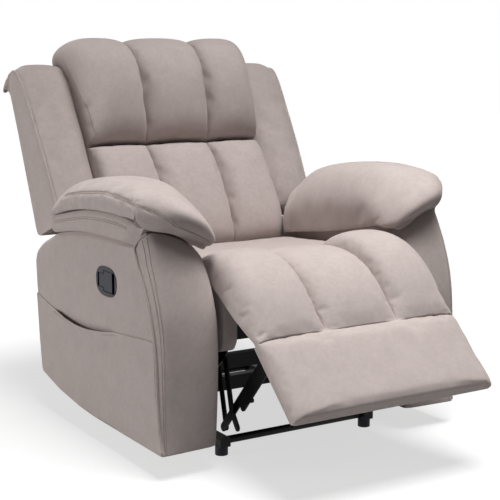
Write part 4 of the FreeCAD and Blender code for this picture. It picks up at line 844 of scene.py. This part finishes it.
# %% Arm covers
def arm_points(a, b, c):
    """Places of an arm cover's corners from the block's: a is 1 at the outer face."""
    b, c = (b + 1) / 2, (c + 1) / 2
    middle, half = (ARM_IN + ARM_OUT) / 2, ARM_WIDE / 2
    turn = np.clip((np.abs(a) - 0.5) / 0.5, 0, 1) * math.pi / 2
    x = np.where(np.abs(a) < 0.5, np.abs(a) / 0.5 * (half - ROLL),
                 half - ROLL + ROLL * np.sin(turn)) * np.sign(a)
    inset = ROLL * (1 - np.cos(turn))
    share = np.clip((half - x) / (2 * half - 8), 0, 1)
    zero, one = np.zeros(len(a)), np.ones(len(a))
    front, foot, head = (panel_front(share, level) for level in (c, zero, one))
    top, rear = curve_at(arm_top, b), curve_at(arm_rear, c)
    top = top + (head - arm_top[0]) * np.clip(1 - b / 0.07, 0, 1)[:, None]
    end, corner = arm_rear[0], arm_top[-1]
    wide, tall = b[:, None], c[:, None]
    bottom = foot * (1 - wide) + end * wide
    bottom[:, 1] = ARM_FOOT + foot_rise(bottom[:, 0])
    flat = ((1 - tall) * bottom + tall * top + (1 - wide) * front + wide * rear
            - ((1 - wide) * (1 - tall) * foot + wide * (1 - tall) * end
               + (1 - wide) * tall * head + wide * tall * corner))
    into = np.where(b < 0.5, np.where(a > 0, 0.15, 0.7), -1) * np.abs(2 * b - 1) ** 8
    down = -np.where(c > 0.5, 1, 0) * np.abs(2 * c - 1) ** 8
    flat += np.stack([into, down], axis=1) * inset[:, None]
    x = middle + x
    x = x + flare(flat[:, 0], flat[:, 1]) * np.clip((x - ARM_IN) / ARM_WIDE, 0, 1) ** 2
    return x, flat


pocket_seam = np.array([(46, 340), (140, 332), (235, 325), (300, 316), (397, 308), (475, 306),
                        (545, 309), (608, 315), (690, 328), (763, 342)], float)
MOUTH_FRONT, MOUTH_REAR, MOUTH_END = 232, 610, 18


def pocket_line(y):
    """Height of the seam across the side of the arm, and whether it is the pocket's mouth."""
    mouth = rise(y, MOUTH_FRONT, MOUTH_FRONT + MOUTH_END) * (
        1 - rise(y, MOUTH_REAR - MOUTH_END, MOUTH_REAR))
    return np.interp(y, pocket_seam[:, 0], pocket_seam[:, 1]), mouth


def mouth_bow(y):
    """0 at both ends of the pocket's mouth and 1 in its middle."""
    return np.sin(np.clip((y - MOUTH_FRONT) / (MOUTH_REAR - MOUTH_FRONT), 0, 1) * math.pi)


# the middle of the lever's cup in the right arm, and half its sizes
CUP_X, LEVER_Y, LEVER_Z = -452, 279, 448
CUP_HALF = (22, 55, 34)


def arm_cover(side):
    piece = grid_block("arm_cover_cloth_" + side, (22, 60, 52))
    a, b, c = points_of(piece).T
    x, flat = arm_points(a, b, c)
    lever_away = 1 - np.exp(-((flat[:, 0] - LEVER_Y) / 95) ** 2
                            - ((flat[:, 1] - LEVER_Z) / 75) ** 2)
    cap = (a > 0.99) * (1 - b ** 4) * (1 - c ** 4) * rise(flat[:, 0], 60, 200)
    x = x + cap * 4.5 * (lever_away if side == "right" else 1)
    if side == "left":
        x = x + 12 * np.clip((x - ARM_IN) / ARM_WIDE, 0, 1) ** 3 * rise(flat[:, 1], 150, 320) * (
            1 - rise(flat[:, 0], 80, 400)) * (1 - rise(flat[:, 1], 500, 590))
    if side == "right":
        line, mouth = pocket_line(flat[:, 0])
        x = x - (a > 0.99) * 13 * mouth * (1 - rise(flat[:, 1], line - 8, line + 5))
    shape(piece, to_side(on_chair(x, flat[:, 0], flat[:, 1]), side))
    smooth_over(piece)
    return piece


arm_covers = {side: arm_cover(side) for side in SIDES}
dress(arm_covers["left"], "base", "arm_cover_left", fill=0.8)

# %% Hole for the lever's cup
pick_only()
bpy.ops.mesh.primitive_cylinder_add(vertices=48, radius=1, depth=2,
                                    rotation=(0, math.pi / 2, 0))
bpy.ops.object.transform_apply(location=False, rotation=True, scale=True)
cutter = bpy.context.object
ring = points_of(cutter)
angle = np.arctan2(ring[:, 2], ring[:, 1])
reach = (np.abs(np.cos(angle)) ** 4 + np.abs(np.sin(angle)) ** 4) ** -0.25
move_points(cutter, on_chair(CUP_X + CUP_HALF[0] * ring[:, 0],
                             LEVER_Y + CUP_HALF[1] * reach * np.cos(angle),
                             LEVER_Z + CUP_HALF[2] * reach * np.sin(angle)))
pick_only(arm_covers["right"])
hole = arm_covers["right"].modifiers.new("hole", "BOOLEAN")
hole.object = cutter
hole.operation, hole.solver = "DIFFERENCE", "EXACT"
bpy.ops.object.modifier_apply(modifier="hole")
bpy.data.objects.remove(cutter)
dress(arm_covers["right"], "base", "arm_cover_right", fill=0.8)

# %% [markdown]
# ## The side pocket
# The lower part of the right arm's side is a second layer of cloth, sewn on all round except at
# the pocket's mouth.  There its hem hangs a little away from the arm and sags.

# %% Pocket panel
def pocket_panel():
    piece = grid_block("side_pocket_cloth", (2, 70, 34))
    a, b, c = points_of(piece).T
    along, tall = (b + 1) / 2, (c + 1) / 2
    front, rear = curve_at(panel_lines[0], tall * 0.42), curve_at(arm_rear, tall * 0.74)
    y = front[:, 0] + 7 + (rear[:, 0] - 9 - front[:, 0] - 7) * along
    line, mouth = pocket_line(y)
    low = ARM_FOOT + 4 + foot_rise(y)
    z = low + (line - low) * tall
    z = z - 6 * mouth * mouth_bow(y) * tall ** 6
    bow = 4.5 * (1 - b ** 4) * (1 - np.clip(2 * z / 504 - 1.25, -1, 1) ** 4)
    out = ARM_OUT + np.maximum(bow, 0) + 4.5 * mouth * mouth_bow(y) * tall ** 8
    thick = 2.6 + 1.8 * mouth * rise(tall, 0.955, 0.975)
    x = out + np.where(a > 0, 0, 1) * thick - (1 - rise(tall, 0, 0.04))
    shape(piece, to_side(on_chair(x, y, z), "right"))
    finish_cover(piece, "base", "side_pocket", fill=0.3)
    return piece


pocket = pocket_panel()

# %% [markdown]
# ## The arm pillows and the bands under them
# A pillow's top panel is sewn to a side band along its outer side and round its nose.  On the
# inner side it rolls down over the arm and hides the joint with the seat.  The nose stands free
# in front of the arm.

# %% Arm pillows
pillow_crown = [(42, 598), (14, 612), (-8, 634), (-9, 657), (14, 679), (70, 698),
                (160, 710), (250, 711), (340, 705), (430, 693), (510, 672), (576, 632)]
pillow_seam = [(40, 640), (24, 648), (18, 654), (24, 660), (44, 667), (90, 674),
               (160, 678), (250, 680), (340, 674), (430, 662), (510, 642), (590, 598)]
pillow_under = [(42, 612), (46, 611), (52, 612), (60, 613), (70, 617), (96, 626),
                (160, 630), (250, 631), (340, 627), (430, 618), (510, 605), (594, 583)]
pillow_foot = [(58, 573), (60, 572), (62, 571), (68, 570), (82, 566), (108, 559),
               (160, 547), (250, 529), (340, 512), (430, 500), (500, 490), (552, 483)]
nose_reach = [(261, 0.5), (268, 0.68), (281, 0.88), (300, 0.98), (335, 1.0), (370, 1.0),
              (395, 0.95), (420, 0.82), (440, 0.62), (455, 0.45), (468, 0.3), (480, 0.18)]


PILLOW_MIDDLE = 372


def pillow(side):
    piece = grid_block("arm_pillow_cloth_" + side, (30, 60, 7))
    a, b, c = points_of(piece).T
    share = (b + 1) / 2
    spot = np.interp(share, [0, 0.05, 0.14, 1], [0, 0.09, 0.26, 1])
    crown, seam = curve_at(pillow_crown, spot), curve_at(pillow_seam, spot)
    under, foot = curve_at(pillow_under, spot), curve_at(pillow_foot, spot)
    edge = foot + (0, 8.0)
    inside, turn = a < 0, (1 - np.abs(a)) * math.pi / 2
    power = np.where(inside, 2 / 1.95, 2 / 2.7)
    rise_up, reach = np.sin(turn) ** power, np.cos(turn) ** power
    x_top = PILLOW_MIDDLE + np.where(inside, -110, 104) * reach
    seam[:, 1] -= 26 * (1 - rise(seam[:, 0], 20, 90)) * (1 - rise(a, 0.0, 0.9))
    rest = np.where(inside[:, None], edge, seam)
    top = rest + (crown - rest) * rise_up[:, None]
    stations = [-1, -0.9, -0.8, -0.74, -0.6, -0.5, -0.4, 1]
    x_low = np.interp(a, stations, [268, 282, 294, 299, 299.2, 299.4, 312, 473])
    drop = np.interp(a, stations, [0.02, 0, 0, 0.06, 0.5, 0.94, 1, 1])[:, None]
    low = foot + (under - foot) * drop
    front_drop = (1 - rise(low[:, 0], 30, 110)) * (1 - rise(x_low, 285, 425)) * drop[:, 0]
    low[:, 1] -= 50 * front_drop
    tall = (c + 1) / 2
    flat = low + (top - low) * tall[:, None]
    x = x_low + (x_top - x_low) * tall
    x = x + (a > 0.99) * 5 * np.sin(np.clip(tall, 0, 1) * math.pi)
    reach = np.interp(x, *np.array(nose_reach, float).T)
    flat[:, 0] = np.where(flat[:, 0] < 85, 85 - (85 - flat[:, 0]) * reach, flat[:, 0])
    inner, high = np.clip((405 - x) / 120, 0, 1), np.clip((flat[:, 1] - 560) / 130, 0, 1)
    flat[:, 1] -= 42 * inner * high * (1 - rise(flat[:, 0], 20, 210))
    hang = inner * (1 - rise(flat[:, 0], 25, 110))
    flat[:, 1] -= hang * (24 - 16 * np.clip((flat[:, 1] - 585) / 45, 0, 1))
    shape(piece, to_side(on_chair(x, flat[:, 0], flat[:, 1]), side))
    relax(piece, (flat[:, 0] < 150) & (x > 290), 6)
    seam_edge = (c > 0.95) & ((a > 0.97) | (b < -0.98) | (b > 0.98))
    finish_cover(piece, "base", "arm_pillow_" + side, held=(c < -0.95) | seam_edge, cap=0.006,
                 fill=0.8)
    return piece


pillows = {side: pillow(side) for side in SIDES}

# %% Bands
band_top = [(62, 616), (157, 629.5), (274, 630), (401, 620), (552, 593), (590, 583)]
BAND_IN, BAND_WIDE = 303, 159
band_low = [(100, 569), (190, 567), (310, 565.5), (438, 557.5), (520, 547.5), (592, 535.5)]


def band(side):
    piece = grid_block("arm_band_cloth_" + side, (14, 46, 10))
    a, b, c = points_of(piece).T
    share, tall = (b + 1) / 2, (c + 1) / 2
    high, low = by_length(band_top, share), by_length(band_low, share)
    turn = np.clip((a - 0.6) / 0.4, 0, 1) * math.pi / 2
    x = np.where(a < 0.6, BAND_IN + (a + 1) / 1.6 * BAND_WIDE,
                 BAND_IN + BAND_WIDE + 10 * np.sin(turn))
    inset = 8 * (1 - np.cos(turn))
    flat = low + (high - low) * tall[:, None]
    flat[:, 1] += inset * np.where(c < -0.95, 1, 0) - inset * np.where(c > 0.95, 1, 0)
    flat[:, 1] = np.where(np.abs(c) > 0.95, flat[:, 1],
                          np.clip(flat[:, 1], low[:, 1] + inset, high[:, 1] - inset))
    swell = np.sin(np.clip(tall, 0, 1) * math.pi)
    x = x + (a > 0.99) * 3.5 * swell * rise(share, 0, 0.12)
    x = x - 13 * (1 - rise(share, 0, 0.09)) * np.clip((x - 440) / 30, 0, 1)
    flat[:, 0] += (b > 0.99) * 11 * swell
    shape(piece, to_side(on_chair(x, flat[:, 0], flat[:, 1]), side))
    finish_cover(piece, "base", "arm_band_" + side, fill=0.85)
    return piece


bands = {side: band(side) for side in SIDES}

# %% [markdown]
# ## The seat and the leg rest
# The front of the seat and the leg rest share one cover, so the cloth flows over the hinge
# without a gap.  It has the back's three columns and ends at a cross seam.  Below it the leg
# rest has one plain panel.  The cover's drawing turns smoothly from seat to leg rest.

# %% Chaise cover
def on_seat(x, z, y):
    """The chair's drawing in the order that profiles give: height, then depth."""
    return on_chair(x, y, z)


chaise_crown = [(150, 478), (148, 500), (131, 522), (96, 536), (44, 542), (-16, 538),
                (-70, 522), (-118, 491), (-153, 455), (-178, 421), (-194, 395), (-204, 373)]
chaise_fold = [(150, 476), (146, 488), (128, 498), (94, 506), (44, 510), (-12, 503),
               (-62, 484), (-104, 457), (-136, 428), (-163, 400), (-184, 380), (-205, 368)]
chaise_side = [(150, 470), (144, 474), (126, 478), (94, 480), (52, 474), (12, 458),
               (-26, 440), (-62, 421), (-96, 403), (-130, 387), (-162, 371), (-192, 356)]
chaise_inner = [(150, 453), (128, 453), (98, 453), (58, 453), (14, 454), (-24, 474),
                (-60, 500), (-96, 499), (-118, 470), (-131, 428), (-146, 380), (-176, 346)]
chaise_spread = [0.985, 0.99, 0.995, 1, 1.005, 1.015, 1.025, 1.035, 1.04, 1.04, 1.035, 1.025]
chaise, sewn = quilted("chaise_cover", (66, 70, 5), chaise_crown, chaise_fold, chaise_side,
                       chaise_inner, on_seat, spread=chaise_spread, rim=(6, -5),
                       lift=(-3, -13, 16))
finish_cover(chaise, None, "seat_front_pad", held=sewn, cap=0.009)
tuple(on_chair(0, -20, 540))
tuple(on_chair(0, -165, 420))
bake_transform(chaise)


# %% Plain pads
def plain_pad(name, parts, half, crown, side, inner, place, power=3.2):
    """A pad with no columns: crowned between its sides."""
    piece = grid_block(name, parts)
    a, b, c = points_of(piece).T
    turn = a * math.pi / 2
    x = half * np.sign(turn) * np.abs(np.sin(turn)) ** (2 / power)
    out = np.clip(np.cos(turn), 0, 1) ** (2 / power)
    share = (b + 1) / 2
    rest, back = curve_at(side, share), curve_at(inner, share)
    front = rest + (curve_at(crown, share) - rest) * out[:, None]
    flat = back + (front - back) * ((c + 1) / 2)[:, None]
    x = x * (1 - 0.025 * rise(share, 0.86, 1) ** 2)
    shape(piece, place(x, flat[:, 1], flat[:, 0]))
    return piece, (c < 0.95) | (out < 0.05) | (np.abs(b) > 0.985)


def on_leg(x, out, along):
    """The leg rest's drawing in the order that profiles give: out, then along."""
    y, z = leg_drawing(along, out)
    return on_chair(x, y, z)


# %% Lower panel
panel_crown = [(148.5, 18), (158, 27), (180, 32), (215, 33), (256, 32), (300, 31), (340, 30),
               (359, 27), (368, 18), (369, -8)]
panel_side = [(148.5, -5), (158, -4), (180, -4), (215, -4), (256, -4), (300, -5), (336, -6),
              (354, -8), (362, -11), (365, -15)]
panel_inner = [(along, -18) for along in (148.5, 158, 180, 215, 256, 300, 336, 350, 358, 362)]
panel, sewn = plain_pad("leg_panel_cover", (44, 30, 4), 297, panel_crown, panel_side,
                        panel_inner, on_leg)
finish_cover(panel, "leg_rest", "leg_pad", held=sewn, cap=0.003)

# %% Seat cushion
seat_crown = [(151, 462), (158, 478), (190, 488), (255, 486), (330, 480), (400, 474),
              (470, 468), (535, 463), (582, 456), (602, 436)]
seat_side = [(151, 456), (158, 470), (190, 479), (255, 479), (330, 476), (400, 472),
             (470, 468), (535, 464), (582, 456), (602, 434)]
seat_inner = [(y, 361) for y in (153, 168, 205, 260, 330, 400, 470, 530, 570, 595)]
seat, sewn = plain_pad("seat_cushion_cover", (44, 34, 8), 288, seat_crown, seat_side,
                       seat_inner, on_seat, power=4.0)
finish_cover(seat, "seat", "seat_cushion", held=sewn, cap=0.010, fill=0.75)

# %% [markdown]
# ## The seat box's corners and the rear panel
# Under the cushions the seat box shows only its two padded corners beside the linkage, rounded
# towards the floor.  The rear of the back is one plain panel, padded with thin wadding.

# %% Seat corners
CORNER_X, CORNER_Y, CORNER_Z = 262.5, -14, 292
CORNER_DEEP, CORNER_TALL, ROUNDING = 68, 159, 44.0


def seat_corner(side):
    piece = grid_block("seat_corner_cloth_" + side, (8, 16, 24))
    a, b, c = points_of(piece).T
    along, tall = (b + 1) / 2, (c + 1) / 2
    x = CORNER_X + 20 * np.sign(a) * np.abs(np.sin(a * math.pi / 2)) ** 0.7
    shrink = np.where(np.abs(a) > 0.99, 3.0, 0) + np.where(np.abs(a) > 0.7, 1.0, 0)
    y = CORNER_Y + shrink + (CORNER_DEEP - 2 * shrink) * along
    z = CORNER_Z + CORNER_TALL * tall
    low = np.clip((CORNER_Z + ROUNDING - z) / ROUNDING, 0, 1)
    ahead = np.clip((CORNER_Y + ROUNDING - y) / ROUNDING, 0, 1)
    in_corner = (low > 0) & (ahead > 0)
    pull = np.where(in_corner, np.maximum(low, ahead) / np.maximum(np.hypot(low, ahead), 1e-9), 1)
    z = np.where(in_corner, CORNER_Z + ROUNDING - low * ROUNDING * pull, z)
    y = np.where(in_corner, CORNER_Y + ROUNDING - ahead * ROUNDING * pull, y)
    shape(piece, to_side(on_chair(x, y, z), side))
    finish_cover(piece, "seat", "seat_corner_" + side, fill=0.8)


for side in SIDES:
    seat_corner(side)


# %% Rear panel
REAR_LOW, REAR_TALL = 22, 718
NARROW_HALF, WIDE_HALF = 284, 398


def rear_panel():
    piece = grid_block("back_panel_cloth", (40, 40, 3))
    a, b, c = points_of(piece).T
    up = REAR_LOW + REAR_TALL * (b + 1) / 2
    half_width = NARROW_HALF + (WIDE_HALF - NARROW_HALF) * rise(up, 244, 268)
    swell = 7 * (1 - a ** 6) * (1 - b ** 6)
    edge = (1 - rise(np.abs(a), 0.97, 1) * 0.7) * (1 - rise(np.abs(b), 0.97, 1) * 0.7)
    forward = np.where(c > 0, -58.5, -60.5 - 4 * edge - swell)
    forward = np.where(np.abs(c) < 0.9, -59.5 - (0.5 - c / 2) * 3 * edge, forward)
    shape(piece, on_back(half_width * a, up, forward))
    finish_cover(piece, "back", "back_cover", fill=0.5)
    return piece


rear = rear_panel()

# %% [markdown]
# ## Piping and top-stitching
# Piping runs down the front edge of each arm and of each wing: a cord wrapped in the cover
# cloth and caught in the seam.  Beside most seams the cloth is stitched down again in two close
# rows.  A seam first draws the cover in, so the rows are laid after that.  Every path is given in
# the chair's drawings and is moved to the nearest cloth.

# %% Paths
def arm_path(points, sign, dz=0.0):
    """A path on an arm: x, depth and height in mm, mirrored for the right arm."""
    x, y, z = np.array(points, float).T
    return on_chair(sign * x, y, z + dz)


pillow_seam_path = [(475, 500, 648), (476, 451, 660), (477, 342, 675), (477, 239, 684),
                    (476, 133, 677), (472, 85, 668), (457, 52, 660), (440, 32, 652),
                    (416, 24, 643), (392, 20, 633), (354, 20, 616), (318, 24, 592),
                    (296, 30, 572)]
gusset_path = [(474, 104, 672), (472, 84, 648), (464, 60, 618)]
front_tall = np.linspace(0.02, 0.985, 30)
front_edge = panel_front(np.zeros(30), front_tall)
panel_rows = []
for inside in (9.0, 13.0):
    row = panel_front(np.full(30, inside / ARM_WIDE), front_tall)
    panel_rows.append(np.column_stack([np.full(30, ARM_OUT - inside), row]))
edge_path = np.column_stack([np.full(30, 460.0) + flare(*front_edge.T), front_edge])
edge_path = np.vstack([edge_path, [(468, 90, 582), (464, 74, 597), (458, 60, 610)]])
print("pillow seam", len(pillow_seam_path), "points")

# %% Arms: seams, piping and stitches
for side, sign in SIDES.items():
    cushion = pillows[side]
    seam_line = arm_path(pillow_seam_path, sign)
    pull_in(cushion, seam_line, 0.0030, 0.005)
    pull_in(cushion, arm_path(gusset_path, sign), 0.0010, 0.004)
    pull_in(cushion, even_path(seam_line, 0.01)[32:], 0.0010, 0.014, beat=0.016)
    low = by_length(band_low, np.linspace(0, 0.97, 60))
    pull_in(arm_covers[side], arm_path(np.column_stack([np.full(60, 461), low]), sign),
            0.008, 0.007)
    arm_tree = surface_of(arm_covers[side])
    rows = [arm_path(pillow_seam_path, sign, dz) for dz in (3.2, -3.2)]
    stitched("pillow_stitches_" + side, surface_of(cushion), rows, "base")
    high = by_length(band_top, np.linspace(0.12, 0.97, 40))
    rows = [arm_path(np.column_stack([np.full(40, 475), high]), sign, -drop)
            for drop in (18, 23)]
    stitched("band_stitches_" + side, surface_of(bands[side]), rows, "base")
    rows = [arm_path(row, sign) for row in panel_rows]
    stitched("arm_front_stitches_" + side, arm_tree, rows, "base")
    piped("arm_piping_" + side, arm_tree, arm_path(edge_path, sign), "base")

# %% Pocket hem
hem_y = np.linspace(222, 620, 90)
hem_line, hem_mouth = pocket_line(hem_y)
hem_sag = 6 * hem_mouth * mouth_bow(hem_y)
hem = arm_path(np.column_stack([np.full(90, 466), hem_y, hem_line - hem_sag - 8]), -1)
stitched("pocket_stitches", surface_of(pocket), [hem], "base")

# %% Wings and head
for side, sign in SIDES.items():
    spot = np.linspace(0.02, 0.9, 46)
    line = curve_at(wing_piping, spot)
    out = WING_IN + WING_WIDE + 0.5 + 15 * wing_roll(spot) - wing_taper(spot)
    wing_edge = on_back(sign * out, line[:, 1], line[:, 0] + 1)
    piped("wing_piping_" + side, surface_of(wings[side]), wing_edge, "back")
    up = np.linspace(512, 772, 30)
    flank = np.interp(up, [487, 560, 610, 660, 706, 748, 772], [60, 64, 52, 34, 20, 8, 0])
    rows = [on_back(sign * (274 + gap + 12 * rise(up, 620, 760)), up, flank + 22)
            for gap in (0, -5)]
    stitched("head_stitches_" + side, surface_of(head), rows, "back")

# %% Rear panel's stitches
turn = np.linspace(0, 2 * math.pi, 120)
HALF_WIDE, HALF_TALL, MIDDLE_UP = 370, 218, 508
round_x = HALF_WIDE * np.sign(np.cos(turn)) * np.abs(np.cos(turn)) ** 0.12
round_up = HALF_TALL * np.sign(np.sin(turn)) * np.abs(np.sin(turn)) ** 0.12
rows = [on_back(round_x * grow, MIDDLE_UP + round_up * grow, -70) for grow in (1.0, 0.985)]
stitched("rear_stitches", surface_of(rear), rows, "back")
